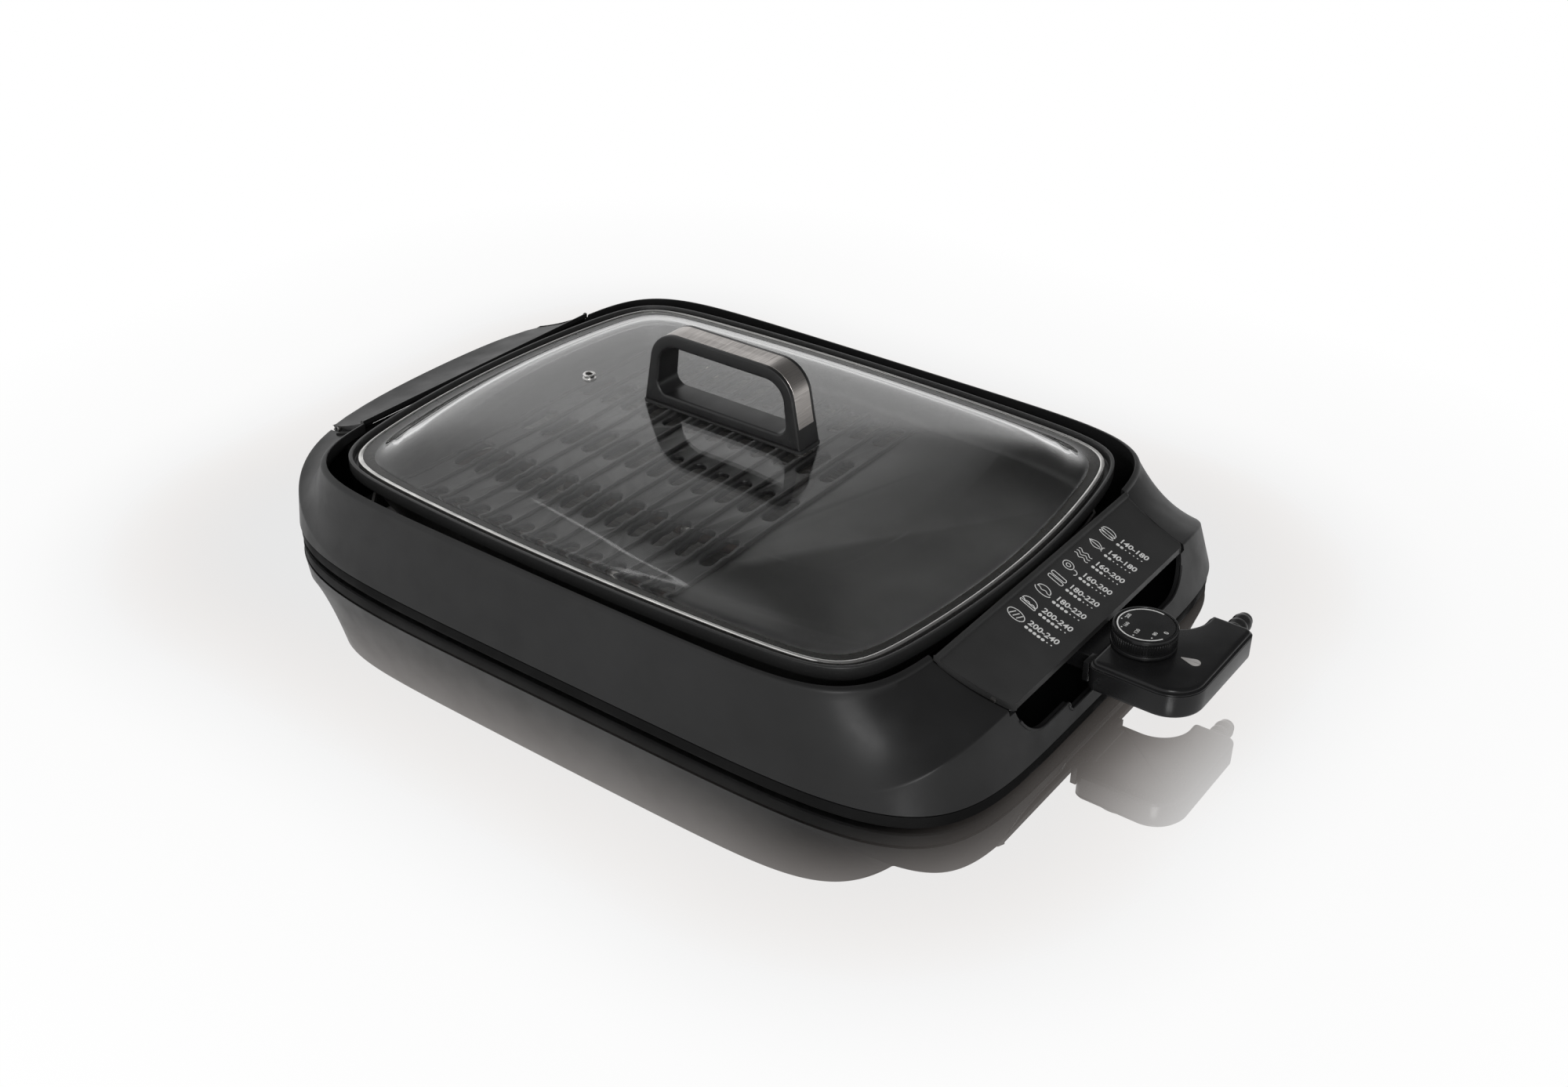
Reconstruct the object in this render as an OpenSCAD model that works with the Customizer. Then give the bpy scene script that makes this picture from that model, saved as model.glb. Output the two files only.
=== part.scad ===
// Electric indoor grill with a lift-off glass lid, a slotted grill plate,
// a slide-out drip tray and a plug-in thermostat with a dial.
// X runs along the length (thermostat at +X), -Y is the front, +Z is up.

/* [Housing] */

// Length of the housing where it meets the base
body_l = 525; // [420:1:640]
// Depth of the housing where it meets the base
body_w = 358; // [290:1:430]
// Height of the housing rim above the table
body_h = 62.5; // [56:0.5:78]
// Width of an end wing, from the base edge to the opening
end_wing = 53; // [51:0.5:60]
// Width of a long wing, from the base edge to the opening
side_wing = 11.5; // [10.5:0.5:16]
// Height of the black base band
base_h = 10; // [8:0.5:14]
// Wall of the moulded housing
wall = 3; // [2:0.25:5]
// Width of the rolled edge on the rim
rim_r = 3; // [2:0.25:5]
// Inward lean of the end walls, mm per mm of height
end_lean = 0.3; // [0.1:0.02:0.4]
// Inward lean of the long walls, mm per mm of height
side_lean = 0.158; // [0.05:0.01:0.25]
// Height where the wing crease would start at the middle of the front
crease_low = 8.6; // [4:0.2:14]
// Rise of the wing crease from front middle to the ends
crease_rise = 36.6; // [25:0.5:45]

/* [End covers and openings] */

// Half width of an end cover at the rim
cover_half_in = 103; // [80:1:120]
// Half width of an end cover at its outer edge
cover_half_out = 95.5; // [75:1:115]
// Thickness of an end cover
cover_t = 3; // [2:0.25:4]
// Seam between a cover and the housing
cover_seam = 1.2; // [0.6:0.1:2]
// Half width of the openings below the covers
port_half = 94; // [80:1:105]
// Lower edge of the thermostat opening
port_low = 22; // [18:0.5:28]
// Lower edge of its deeper middle stretch
notch_low = 17; // [13:0.5:20]
// Corner radius of the thermostat opening
port_r = 24; // [10:1:30]

/* [Grill plate] */

// Gap between the plate and the opening at each end
plate_end_gap = 3.8; // [3:0.1:6]
// Gap between the plate and the opening at front and rear
plate_side_gap = 10.4; // [9:0.1:13]
// Height of the plate's lip above the rim
lip_over = 1.2; // [0:0.1:3]
// Depth of the ledge that the lid rests on, below the lip
ledge_drop = 5.3; // [4.5:0.1:7]
// Height of the cooking surface
cook_z = 36.6; // [34:0.2:44]
// Thickness of the plate floor
plate_t = 3.4; // [2.5:0.1:6]
// Inset of the flat floor from the lip, all round
floor_inset = 15.7; // [12:0.1:24]
// Distance between two ridges
ridge_pitch = 17.9; // [12:0.1:24]
// Width of a ridge
ridge_w = 3; // [2:0.1:5]
// Height of a ridge
ridge_h = 1.8; // [1:0.1:4]
// Length of a drain slot
slot_l = 31; // [16:0.5:40]
// Width of a drain slot
slot_w = 9.2; // [5:0.1:12]
// Distance of the outermost slots from the edge of the floor
slot_edge = 9.9; // [8:0.1:20]
// Right edge of the ridged field
ridged_end = 48; // [0:1:90]

/* [Lid] */

// Gap between the lid's rim and the outside of the plate
lid_gap = 5.7; // [5:0.1:7]
// Rise of the glass above the flange
lid_rise = 24.6; // [15:0.2:45]
// Thickness of the glass
glass_t = 3.6; // [3:0.1:5]
// Width of the steel rim
band_w = 2.2; // [1.5:0.1:4]
// Distance of the steam vent from the end of the lid
vent_in = 87.5; // [70:0.5:110]
// Diameter of the steam hole
vent_d = 4.5; // [3:0.1:8]

/* [Lid handle] */

// Height of the handle above its seat
handle_h = 47; // [35:0.5:65]
// Half length of the handle at its foot
handle_foot = 58; // [45:0.5:70]
// Half length of the handle at shoulder height
handle_top = 53; // [40:0.5:65]
// Depth of the handle, front to back
handle_d = 19.5; // [14:0.5:26]
// Outer corner radius of the handle
handle_r = 20; // [12:0.5:24]
// Thickness of the top bar
bar_t = 8; // [5:0.5:12]
// Thickness of the lower bar
foot_t = 6.5; // [4:0.5:10]
// Thickness of the steel strip
strip_t = 0.8; // [0.5:0.1:1.5]
// Width of the steel strip
strip_w = 14.4; // [8:0.2:18]

/* [Thermostat] */

// Distance of the dial from the front-to-back centre line, towards the front
dial_off = 6.4; // [0:0.2:12]
// Diameter of the dial
dial_d = 35; // [28:0.5:44]
// Height of the dial
dial_h = 11.7; // [8:0.1:18]
// Diameter of the dial spindle
spindle_d = 6; // [4:0.5:8]
// Length of the thermostat body that stands out
pod_l = 57.7; // [50:0.1:80]
// Underside of the thermostat body
pod_low = 27.5; // [24:0.5:32]
// Top of the thermostat body
pod_top = 45; // [40:0.5:50]
// Height of the joint line between the shells
pod_part = 41.6; // [34:0.2:43]
// Wall of the thermostat body
pod_wall = 2; // [1.5:0.1:3]
// Radius of the hollow side of the body
bite_r = 20; // [12:0.5:26]
// Diameter of the terminal pins
pin_d = 5; // [3:0.1:7]
// Distance between the terminal pins
pin_pitch = 24; // [16:0.5:30]
// Diameter of the sensing rod
rod_d = 6; // [4:0.1:8]
// Diameter of the cord hole in the boot
cord_d = 6.8; // [5:0.1:9]

/* [Inside] */

// Diameter of the heater tube
heater_d = 7; // [6:0.1:9]
// Bend radius of the heater tube
heater_r = 16; // [12:0.5:24]
// Height of the heater centre line
heater_z = 28.4; // [26:0.1:32]
// Half depth of the drip tray
tray_half = 86; // [60:1:90]
// Height of the underside of the drip tray
tray_z = 11; // [10.8:0.1:12]
// Height of the drip tray walls
tray_h = 7.5; // [6:0.5:9]
// Wall of the drip tray
tray_t = 1; // [0.8:0.1:2]
// How far the drip tray reaches past the ridged field
tray_past = 48; // [20:1:60]
// Sheet thickness of the liner
sheet_t = 1.2; // [0.8:0.1:2]

/* [Clearances] */

// Gap where one loose piece rests on another
rest_gap = 0.3; // [0.2:0.05:0.6]
// Radial gap of the dial spindle
spindle_gap = 0.05; // [0.02:0.01:0.1]
// Radial gap of plugs and pins
plug_gap = 0.3; // [0.2:0.05:0.5]
// Gap between pieces that are screwed together
fit_gap = 0.1; // [0.05:0.01:0.3]

/* [Screws] */

// Shank diameter of the case screws
screw_d = 3; // [2.5:0.1:4]
// Head diameter of the case screws
screw_head = 6; // [5:0.1:8]
// Shank diameter of the handle screws
handle_screw_d = 4; // [3:0.1:5]

/* [Hidden] */

$fn = 48;

outline_steps = 96;
wall_power = 6.3;
left_power = 4.8;
rim_power = 7.6;
lid_power = 14;
lid_bow = [0.084, 0.055];
rim_bow = [0.025, 0.01];
no_bow = [0, 0];

black = [0.1, 0.1, 0.105];
satin = [0.19, 0.19, 0.195];
steel = [0.74, 0.72, 0.7];
dark_plate = [0.25, 0.25, 0.25];
glass_tint = [0.75, 0.8, 0.8, 0.4];
ceramic_white = [0.86, 0.84, 0.78];
brass = [0.8, 0.62, 0.3];

half_l = body_l / 2;
half_w = body_w / 2;
end_h = crease_low + crease_rise;
cover_end = half_l - end_lean * (end_h - base_h);
mouth_l = body_l - 2 * end_wing;
mouth_w = body_w - 2 * side_wing;
cover_start = mouth_l / 2;
cover_sag = 3;

base_low = 1.2;
base_t = 2;
foot_r = 10;
foot_x = half_l - 62.5;
foot_y = half_w - 39;
stem_r = 3;
boss_r = 4.5;
boss_h = 12;
boss_x = half_l - 112.5;
boss_xs = [-boss_x, -boss_x / 3, boss_x / 3, boss_x];
vent_row = half_w - 63;

plate_l = mouth_l - 2 * plate_end_gap;
plate_w = mouth_w - 2 * plate_side_gap;
lip_z = body_h + lip_over;
ledge_z = lip_z - ledge_drop;
floor_l = plate_l - 2 * floor_inset;
floor_w = plate_w - 2 * floor_inset;
plate_low = cook_z - plate_t;
ledge_w = 7;
lip_t = 2.2;
slot_x0 = ridged_end - 10.4;
slot_cols = floor((slot_x0 + floor_l / 2 - 26) / ridge_pitch) + 1;
row_pitch = (floor_w - slot_l) / 4 - slot_edge / 2;

lid_l = plate_l - 2 * lid_gap;
lid_w = plate_w - 2 * lid_gap;
band_low = ledge_z + rest_gap;
band_h = 3.7;
flange_z = band_low + band_h - 0.2;
glass_top = flange_z + lid_rise;
dome_l = lid_l / 2 - 50;
dome_w = lid_w / 2 - 50;
vent_x = lid_l / 2 - vent_in;

seat_z = glass_top + 1;
handle_z = seat_z + handle_h;
shoulder_z = handle_z - handle_r;
bar_z = handle_z - bar_t;
grip_low = seat_z + foot_t;
grip_r_top = handle_r - 7;
grip_r_low = 7;
leg_t = 8.6;
strip_low = seat_z + 12;
handle_screw_x = handle_foot - leg_t / 2 - 2;

pod_start = half_l + 0.2;
pod_end = half_l + pod_l;
pod_front = 38.5;
pod_back = 41.5;
dial_x = half_l + 15.9;
dial_z = pod_top + rest_gap;
bite_x = half_l + 12.7;
bite_y = 35.5;
plug_z = 33;
neck_half = 18;
neck_half_h = 5.5;
neck_in = 5;
neck_start = cover_start + 0.6;
boot_x = half_l + 44.7;
boot_z = 36;
boot_r = 6.2;
boot_l = 19;

frame_shift = (pod_end - cover_end) / 2;

liner_l = floor_l - 7;
liner_w = floor_w - 6;
liner_top = 30;
liner_low = base_low + base_t + fit_gap;
tray_start = cover_end - 11;
tray_end = ridged_end + tray_past;
tray_top = tray_z + tray_h;
rail_t = 1.5;
guide_rise = 2.2;
guide_gap = 0.2;
rail_top = tray_z - rest_gap;
rest_x = floor_l / 2 - 70;
rest_r = 4.5;
rest_y = liner_w / 2 - sheet_t - rest_r - 1;
block_start = floor_l / 2 + 9.4;
block_end = cover_start - 2.6;
bulk_x = cover_start + 2;
bulk_t = 2.5;

loop_x = liner_l / 2 - 18.5;
loop_y = liner_w / 2 - 30.4;
inner_y = 40;
inner_x = loop_x - 72;

// Radius of a superellipse with half axes a and b in direction th
function se_r(a, b, n, th) =
    pow(pow(abs(cos(th)) / a, n) + pow(abs(sin(th)) / b, n), -1 / n);

// A point of that outline; bow pulls the sides in towards the corners, so they are arcs
function ol(l, w, n, bow, th) =
    let (r = se_r(l / 2, w / 2, n, th), x = r * cos(th), y = r * sin(th))
    [x * (1 - bow[0] * pow(2 * y / w, 2)), y * (1 - bow[1] * pow(2 * x / l, 2))];

function outline(l, w, n, bow, q = outline_steps) =
    [for (i = [0:q - 1]) ol(l, w, n, bow, 360 * i / q)];

// The left end has rounder corners than the right one and doesn't lean
function side_power(th) = cos(th) < 0 ? left_power : wall_power;
function side_half(th, z) = cos(th) < 0 ? cover_end : half_l - end_lean * (z - base_h);

// How far a direction points to an end (1) or to a long side (0)
function endness(th) = let (a = side_half(th, base_h), n = side_power(th))
    pow(se_r(a, half_w, n, th) * abs(cos(th)) / a, n);

function crease_z(th) = max(base_h + 0.6, crease_low + crease_rise * endness(th));
function up(p, z) = [p[0], p[1], z];
function wall_pt(th, z, inset) =
    up(ol(2 * side_half(th, z) - 2 * inset,
          body_w - 2 * side_lean * (z - base_h) - 2 * inset, side_power(th), no_bow, th), z);
function base_outline(inset) =
    [for (i = [0:outline_steps - 1]) let (p = wall_pt(360 * i / outline_steps, base_h, inset)) [p[0], p[1]]];
function rim_pt(th, z, grow) =
    up(ol(mouth_l + 2 * grow, mouth_w + 2 * grow, rim_power, rim_bow, th), z);
function bend_pt(p, k, r, s) =
    (1 - s) * (1 - s) * p + 2 * s * (1 - s) * k + s * s * r;
function hollow(th) = let (e = endness(th)) cover_sag + 14 * e * (1 - e);

// Outer surface of the wing from the crease (s = 0) to the rim (s = 1)
function flare(th, s, drop) =
    let (c = crease_z(th),
         p = wall_pt(th, max(base_h + 0.4, c - drop), drop),
         r = rim_pt(th, body_h - rim_r - drop, rim_r - drop),
         k = (p + r) / 2 - [0, 0, hollow(th)])
    bend_pt(p, k, r, s);

function housing_section(th) = [
    wall_pt(th, base_h, 0),
    flare(th, 0, 0), flare(th, 0.25, 0), flare(th, 0.5, 0), flare(th, 0.75, 0), flare(th, 1, 0),
    rim_pt(th, body_h - rim_r * 0.3, rim_r * 0.7),
    rim_pt(th, body_h, 0),
    flare(th, 1, wall), flare(th, 0.66, wall), flare(th, 0.33, wall), flare(th, 0, wall),
    wall_pt(th, base_h, wall)
];

// Closed ring: one section for each step round, joined by triangles
module ring_solid(sections) {
    q = len(sections);
    m = len(sections[0]);
    pts = [for (s = sections) for (p = s) p];
    faces = [for (i = [0:q - 1]) for (j = [0:m - 1]) for (k = [0:1])
        let (a = i * m + j, b = i * m + (j + 1) % m,
             c = ((i + 1) % q) * m + j, d = ((i + 1) % q) * m + (j + 1) % m)
        k == 0 ? [a, b, d] : [a, d, c]];
    polyhedron(pts, faces, convexity = 8);
}

// Closed shell: levels run from a middle point over the edge to another middle point
module shell_solid(first, levels, last) {
    m = len(levels);
    q = len(levels[0]);
    pts = concat([for (s = levels) for (p = s) p], [first, last]);
    top = m * q;
    low = top + 1;
    faces = concat(
        [for (i = [0:q - 1]) [top, (i + 1) % q, i]],
        [for (j = [0:m - 2]) for (i = [0:q - 1]) for (k = [0:1])
            let (a = j * q + i, b = j * q + (i + 1) % q, c = a + q, d = b + q)
            k == 0 ? [a, b, d] : [a, d, c]],
        [for (i = [0:q - 1]) [low, (m - 1) * q + i, (m - 1) * q + (i + 1) % q]]
    );
    polyhedron(pts, faces, convexity = 8);
}

module place() {
    translate([-frame_shift, 0, 0]) children();
}

module prism(z0, z1, pts) {
    translate([0, 0, z0]) linear_extrude(z1 - z0) polygon(pts);
}

module block(x0, x1, y0, y1, z0, z1) {
    translate([x0, y0, z0]) cube([x1 - x0, y1 - y0, z1 - z0]);
}

module post(x, y, z0, z1, r) {
    translate([x, y, z0]) cylinder(h = z1 - z0, r = r);
}

module rod_x(x0, x1, y, z, r) {
    translate([x0, y, z]) rotate([0, 90, 0]) cylinder(h = x1 - x0, r = r);
}

// Pan-head screw pointing up from z0, head below
module screw_up(x, y, z0, length, d, head) {
    difference() {
        union() {
            post(x, y, z0, z0 + length, d / 2);
            post(x, y, z0 - d * 0.6, z0, head / 2);
        }
        block(x - d * 0.5, x + d * 0.5, y - d * 0.12, y + d * 0.12, z0 - d * 0.7, z0 - d * 0.3);
        block(x - d * 0.12, x + d * 0.12, y - d * 0.5, y + d * 0.5, z0 - d * 0.7, z0 - d * 0.3);
    }
}

// Depth of the long wall at length x, at the base
function wall_y(x) = let (a = x < 0 ? cover_end : half_l, n = x < 0 ? left_power : wall_power)
    half_w * pow(1 - pow(abs(x) / a, n), 1 / n);

function boss_places() =
    [for (x = boss_xs) for (s = [-1, 1]) [x, s * (wall_y(x) - wall - boss_r - 0.4)]];

// Top line of an end cover, from the rim to its outer edge
function cover_line(s) =
    bend_pt([cover_end, end_h], [(cover_end + cover_start + rim_r) / 2,
        (end_h + body_h - rim_r) / 2 - cover_sag], [cover_start + rim_r, body_h - rim_r], s);
function cover_top() = concat(
    [for (i = [0:8]) cover_line(i / 8)],
    [[cover_start + rim_r * 0.7, body_h - rim_r * 0.3], [cover_start + 0.4, body_h]]);
function cover_profile(drop, t) = concat(
    [for (p = cover_top()) [p[0], p[1] - drop]],
    [for (i = [len(cover_top()) - 1:-1:0]) let (p = cover_top()[i]) [p[0], p[1] - drop - t]]);

module cover_slab(drop, t, half_in, half_out) {
    intersection() {
        rotate([90, 0, 0]) translate([0, 0, -half_in - 5])
            linear_extrude(2 * half_in + 10) polygon(cover_profile(drop, t));
        prism(0, body_h + 5, [
            [cover_start - 5, -half_in], [cover_start - 1, -half_in],
            [cover_end + 1, -half_out], [cover_end + 1, half_out],
            [cover_start - 1, half_in], [cover_start - 5, half_in]]);
    }
}

module cover_cut() {
    prism(end_h - cover_t - 1.5, body_h + 5, [
        [cover_start - 8, -cover_half_in - cover_seam], [cover_start - 1, -cover_half_in - cover_seam],
        [half_l + 8, -cover_half_out + 1 - cover_seam], [half_l + 8, cover_half_out - 1 + cover_seam],
        [cover_start - 1, cover_half_in + cover_seam], [cover_start - 8, cover_half_in + cover_seam]]);
}

// Opening seen from the end, with rounded lower corners and the deeper middle
module port_shape() {
    difference() {
        translate([-port_half, port_low]) square([2 * port_half, body_h - port_low]);
        for (s = [-1, 1]) translate([s * port_half, port_low]) difference() {
            translate([-port_r, -0.01]) square([2 * port_r, port_r]);
            translate([-s * port_r, port_r]) circle(port_r, $fn = 64);
            translate([s > 0 ? 0 : -port_r * 2, 0]) square([2 * port_r, port_r * 2]);
        }
    }
    translate([-dial_off - 40, notch_low]) square([80, port_low]);
}

module port_cut() {
    translate([bulk_x + 6, 0, 0]) rotate([90, 0, 90]) linear_extrude(half_l - bulk_x + 5) port_shape();
}

module outer_housing() {
    color(satin) place() difference() {
        union() {
            difference() {
                ring_solid([for (i = [0:outline_steps - 1]) housing_section(360 * i / outline_steps)]);
                cover_cut();
                mirror([1, 0, 0]) cover_cut();
                port_cut();
                block(-half_l - 5, -bulk_x - 6, -port_half, port_half, 0, end_h + 10);
            }
            intersection() {
                for (m = [0, 1]) mirror([m, 0, 0]) for (s = [0, 1]) mirror([0, s, 0]) intersection() {
                    cover_slab(cover_t + fit_gap, 2.4, cover_half_in + 4, cover_half_out + 4);
                    block(cover_start, cover_end - 2, cover_half_out - 1.6, cover_half_in + 4, 0, body_h);
                }
                prism(0, body_h, base_outline(1));
            }
            for (m = [0, 1]) mirror([m, 0, 0]) bulkhead();
            for (p = boss_places()) post(p[0], p[1], base_h, base_h + boss_h, boss_r);
        }
        for (p = boss_places()) post(p[0], p[1], base_h - 1, base_h + boss_h - 2, screw_d / 2);
        for (m = [0, 1]) mirror([m, 0, 0]) for (p = cover_screw_places())
            post(p[0], p[1], end_h - 14, body_h, screw_d / 2 + 0.2);
        block(bulk_x - 2, bulk_x + 6, -dial_off - neck_half - 6, -dial_off + neck_half + 6,
            0, plug_z + neck_half_h + 5);
        block(-bulk_x - 6, -bulk_x + 2, -tray_half - 6, tray_half + 6, 0, tray_top + 6);
    }
}

// Inner end wall that ties the two halves together below a cover
module bulkhead() {
    difference() {
        block(bulk_x, bulk_x + bulk_t, -cover_half_in - 12, cover_half_in + 12,
            base_h, body_h - rim_r - cover_t - 2.4);
        block(bulk_x - 1, bulk_x + bulk_t + 1, -port_half + 14, port_half - 14, base_h - 1, tray_z + 4);
    }
}

function cover_screw_places() = [for (y = [-1, 1]) for (x = [0.3, 0.75])
    [cover_start + x * (cover_end - cover_start), y * (cover_half_out + 1.2)]];
function cover_under(x) = lookup(x, [for (p = cover_top()) [p[0], p[1] - cover_t]]);

module end_cover(tone) {
    color(tone) difference() {
        union() {
            cover_slab(0, cover_t, cover_half_in, cover_half_out);
            block(cover_end - 2, cover_end - 0.4, -cover_half_out + 4, cover_half_out - 4,
                end_h - cover_t - 1.2, end_h - 1);
        }
        for (p = cover_screw_places()) post(p[0], p[1], 0, cover_under(p[0]) + 1.6, screw_d / 2);
    }
}

module left_end_cover() {
    color(satin) place() intersection() {
        mirror([1, 0, 0]) end_cover(satin);
        prism(0, body_h + 1, base_outline(0));
    }
}

module guide_panel() {
    place() end_cover(satin);
}

module base_pan() {
    color(black) place() difference() {
        union() {
            difference() {
                prism(base_low, base_h - fit_gap, base_outline(0));
                prism(base_low + base_t, base_h + 1, base_outline(wall));
            }
            for (p = boss_places()) post(p[0], p[1], base_low + 1, base_h - fit_gap, boss_r);
        }
        for (p = boss_places()) {
            post(p[0], p[1], 0, base_h, screw_d / 2 + 0.2);
            post(p[0], p[1], 0, base_low + 3, screw_head / 2 + 0.2);
        }
        for (x = [-1, 1]) for (y = [-1, 1]) post(x * foot_x, y * foot_y, 0, base_h, stem_r + fit_gap);
        for (x = [-boss_x:20:boss_x]) for (y = [-vent_row, vent_row])
            block(x - 3, x + 3, y - 12, y + 12, 0, base_low + base_t + 1);
    }
}

module rubber_feet() {
    color(black) place() for (x = [-1, 1]) for (y = [-1, 1]) {
        post(x * foot_x, y * foot_y, 0, base_low - fit_gap, foot_r);
        post(x * foot_x, y * foot_y, 0.5, base_low + base_t + 2, stem_r);
        post(x * foot_x, y * foot_y, base_low + base_t + fit_gap, base_low + base_t + 2, stem_r + 1.5);
    }
}

module base_screws() {
    color(steel) place() for (p = boss_places())
        screw_up(p[0], p[1], base_low + 3, base_h - base_low - 3 + 8, screw_d - 0.1, screw_head);
}

module cover_screws() {
    color(steel) place() for (m = [0, 1]) mirror([m, 0, 0]) for (p = cover_screw_places())
        screw_up(p[0], p[1], cover_under(p[0]) - 4.6, 6, screw_d - 0.1, screw_head);
}

module liner() {
    color(steel) place() difference() {
        union() {
            difference() {
                prism(liner_low, liner_top, outline(liner_l, liner_w, lid_power, no_bow));
                prism(liner_low - 1, liner_top + 1,
                    outline(liner_l - 2 * sheet_t, liner_w - 2 * sheet_t, lid_power, no_bow));
            }
            difference() {
                prism(liner_low, liner_low + sheet_t, outline(liner_l + 16, liner_w + 16, lid_power, no_bow));
                prism(liner_low - 1, liner_low + 2,
                    outline(liner_l - 1, liner_w - 1, lid_power, no_bow));
            }
            for (x = [-1, 1]) for (s = [0, 1]) mirror([0, s, 0])
                block(x * rest_x - 8, x * rest_x + 8, liner_w / 2 - 13, liner_w / 2 - 0.5,
                    liner_top - 2 - sheet_t, liner_top - 2);
            block(liner_l / 2 - 1, block_start - fit_gap, -dial_off - 18, -dial_off + 18,
                heater_z - heater_d / 2 - 2.4, heater_z - heater_d / 2 - 1);
        }
        block(-liner_l / 2 - 10, -liner_l / 2 + 10, -tray_half - 3, tray_half + 3,
            liner_low - 1, tray_top + 2.5);
        for (y = [-1, 1]) rod_x(liner_l / 2 - 8, liner_l / 2 + 8, -dial_off + y * pin_pitch / 2,
            heater_z, heater_d / 2 + 0.6);
        for (x = [-1, 0, 1]) for (s = [0, 1]) mirror([0, s, 0])
            block(x * 100 - 6.2, x * 100 + 6.2, liner_w / 2 - 4, liner_w / 2 + 1,
                heater_z - heater_d / 2 - 2.1, heater_z - heater_d / 2);
    }
}

module plate_rests() {
    color(ceramic_white) place() for (x = [-1, 1]) for (y = [-1, 1])
        post(x * rest_x, y * rest_y, liner_top - 2, plate_low - rest_gap, rest_r);
}

module tray_rails() {
    start = -liner_l / 2 + 3;
    end = tray_end + 8;
    side = tray_half + 0.7;
    color(steel) place() for (s = [0, 1]) mirror([0, s, 0]) {
        block(start, end, side, side + rail_t, liner_low, tray_z + 5);
        block(start, end, tray_half - 7, side + 0.3, rail_top - rail_t, rail_top);
        block(start, end, side + 0.3, tray_half + 11, liner_low, liner_low + rail_t);
    }
}

// Sloping sheets that lead fat from the outer slots into the tray
module grease_guides() {
    start = -liner_l / 2 + 12;
    skin = 2 * sheet_t + 2 * guide_gap;
    low = tray_top + 0.8;
    color(steel) place() for (s = [0, 1]) mirror([0, s, 0]) intersection() {
        translate([start, 0, 0]) rotate([90, 0, 90]) linear_extrude(tray_end - 8 - start)
            polygon([[tray_half - 4, low], [liner_w / 2, low + guide_rise],
                [liner_w / 2, low + guide_rise + 1], [tray_half - 4, low + 1]]);
        prism(liner_low, liner_top, outline(liner_l - skin, liner_w - skin, lid_power, no_bow));
    }
}

// Quarter bend of a tube about (x, y), starting in direction a0
module tube_bend(x, y, a0, r_bend, r) {
    translate([x, y, heater_z]) rotate([0, 0, a0])
        rotate_extrude(angle = 90) translate([r_bend, 0]) circle(r, $fn = 32);
}

module tube_y(x, y0, y1, r) {
    translate([x, y0, heater_z]) rotate([-90, 0, 0]) cylinder(h = y1 - y0, r = r, $fn = 32);
}

module tube_x(x0, x1, y, r) {
    translate([x0, y, heater_z]) rotate([0, 90, 0]) cylinder(h = x1 - x0, r = r, $fn = 32);
}

module heater_tube() {
    r = heater_d / 2;
    b = heater_r;
    lead = pin_pitch / 2;
    color(black) place() {
        for (s = [-1, 1]) {
            y_lead = -dial_off + s * lead;
            bx = loop_x - b;
            tube_x(loop_x + b, block_start + 2, y_lead, r);
            tube_bend(loop_x + b, y_lead + s * b, s > 0 ? 180 : 90, b, r);
            tube_y(loop_x, min(y_lead + s * b, s * (loop_y - b)), max(y_lead + s * b, s * (loop_y - b)), r);
            tube_bend(bx, s * (loop_y - b), s > 0 ? 0 : 270, b, r);
            tube_x(-bx, bx, s * loop_y, r);
            tube_bend(-bx, s * (loop_y - b), s > 0 ? 90 : 180, b, r);
            ends = [s * (loop_y - b), s * (inner_y + b)];
            tube_y(-loop_x, min(ends), max(ends), r);
            tube_bend(-bx, s * (inner_y + b), s > 0 ? 180 : 90, b, r);
            tube_x(-bx, inner_x, s * inner_y, r);
            tube_bend(inner_x, s * (inner_y - b), s > 0 ? 0 : 270, b, r);
        }
        tube_y(inner_x + b, -(inner_y - b), inner_y - b, r);
    }
}

module heater_bars() {
    color(steel) place() for (x = [-100, 0, 100])
        block(x - 6, x + 6, -liner_w / 2 - 0.6, liner_w / 2 + 0.6,
            heater_z - heater_d / 2 - 1.9, heater_z - heater_d / 2 - 0.1);
}

module heater_clips() {
    clip_r = heater_d / 2 + 0.15;
    color(steel) place() for (x = [-100, 0]) for (y = [-loop_y, -inner_y, inner_y, loop_y])
        intersection() {
            translate([x - 3, y, heater_z]) rotate([0, 90, 0]) difference() {
                union() {
                    cylinder(h = 6, r = clip_r + 0.8);
                    translate([0, -clip_r - 0.8, 0]) cube([heater_d / 2, 2 * clip_r + 1.6, 6]);
                }
                translate([0, 0, -1]) cylinder(h = 8, r = clip_r);
                translate([0, -clip_r, -1]) cube([heater_d, 2 * clip_r, 8]);
            }
            block(x - 4, x + 4, y - 6, y + 6, heater_z - heater_d / 2, heater_z + heater_d);
        }
}

module terminal_block() {
    color(ceramic_white) place() difference() {
        block(block_start, block_end, -dial_off - 20, -dial_off + 20, heater_z - 5, plug_z + 9);
        for (s = [-1, 1]) {
            y = -dial_off + s * pin_pitch / 2;
            rod_x(block_start - 1, block_start + 2.1, y, heater_z, heater_d / 2 + fit_gap);
            rod_x(block_start + 3.6, block_end + 1, y, plug_z, pin_d / 2 + 0.02);
            rod_x(block_start - 1, block_end + 1, -dial_off + s * 16.5, plug_z + 6, 1.1);
        }
        rod_x(block_start - 1, block_end + 1, -dial_off, plug_z, rod_d / 2 + plug_gap);
    }
}

module terminal_pins() {
    color(steel) place() for (s = [-1, 1]) {
        rod_x(block_start + 3.8, cover_start + 12, -dial_off + s * pin_pitch / 2, plug_z, pin_d / 2);
        translate([cover_start + 12, -dial_off + s * pin_pitch / 2, plug_z]) sphere(r = pin_d / 2);
    }
}

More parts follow.
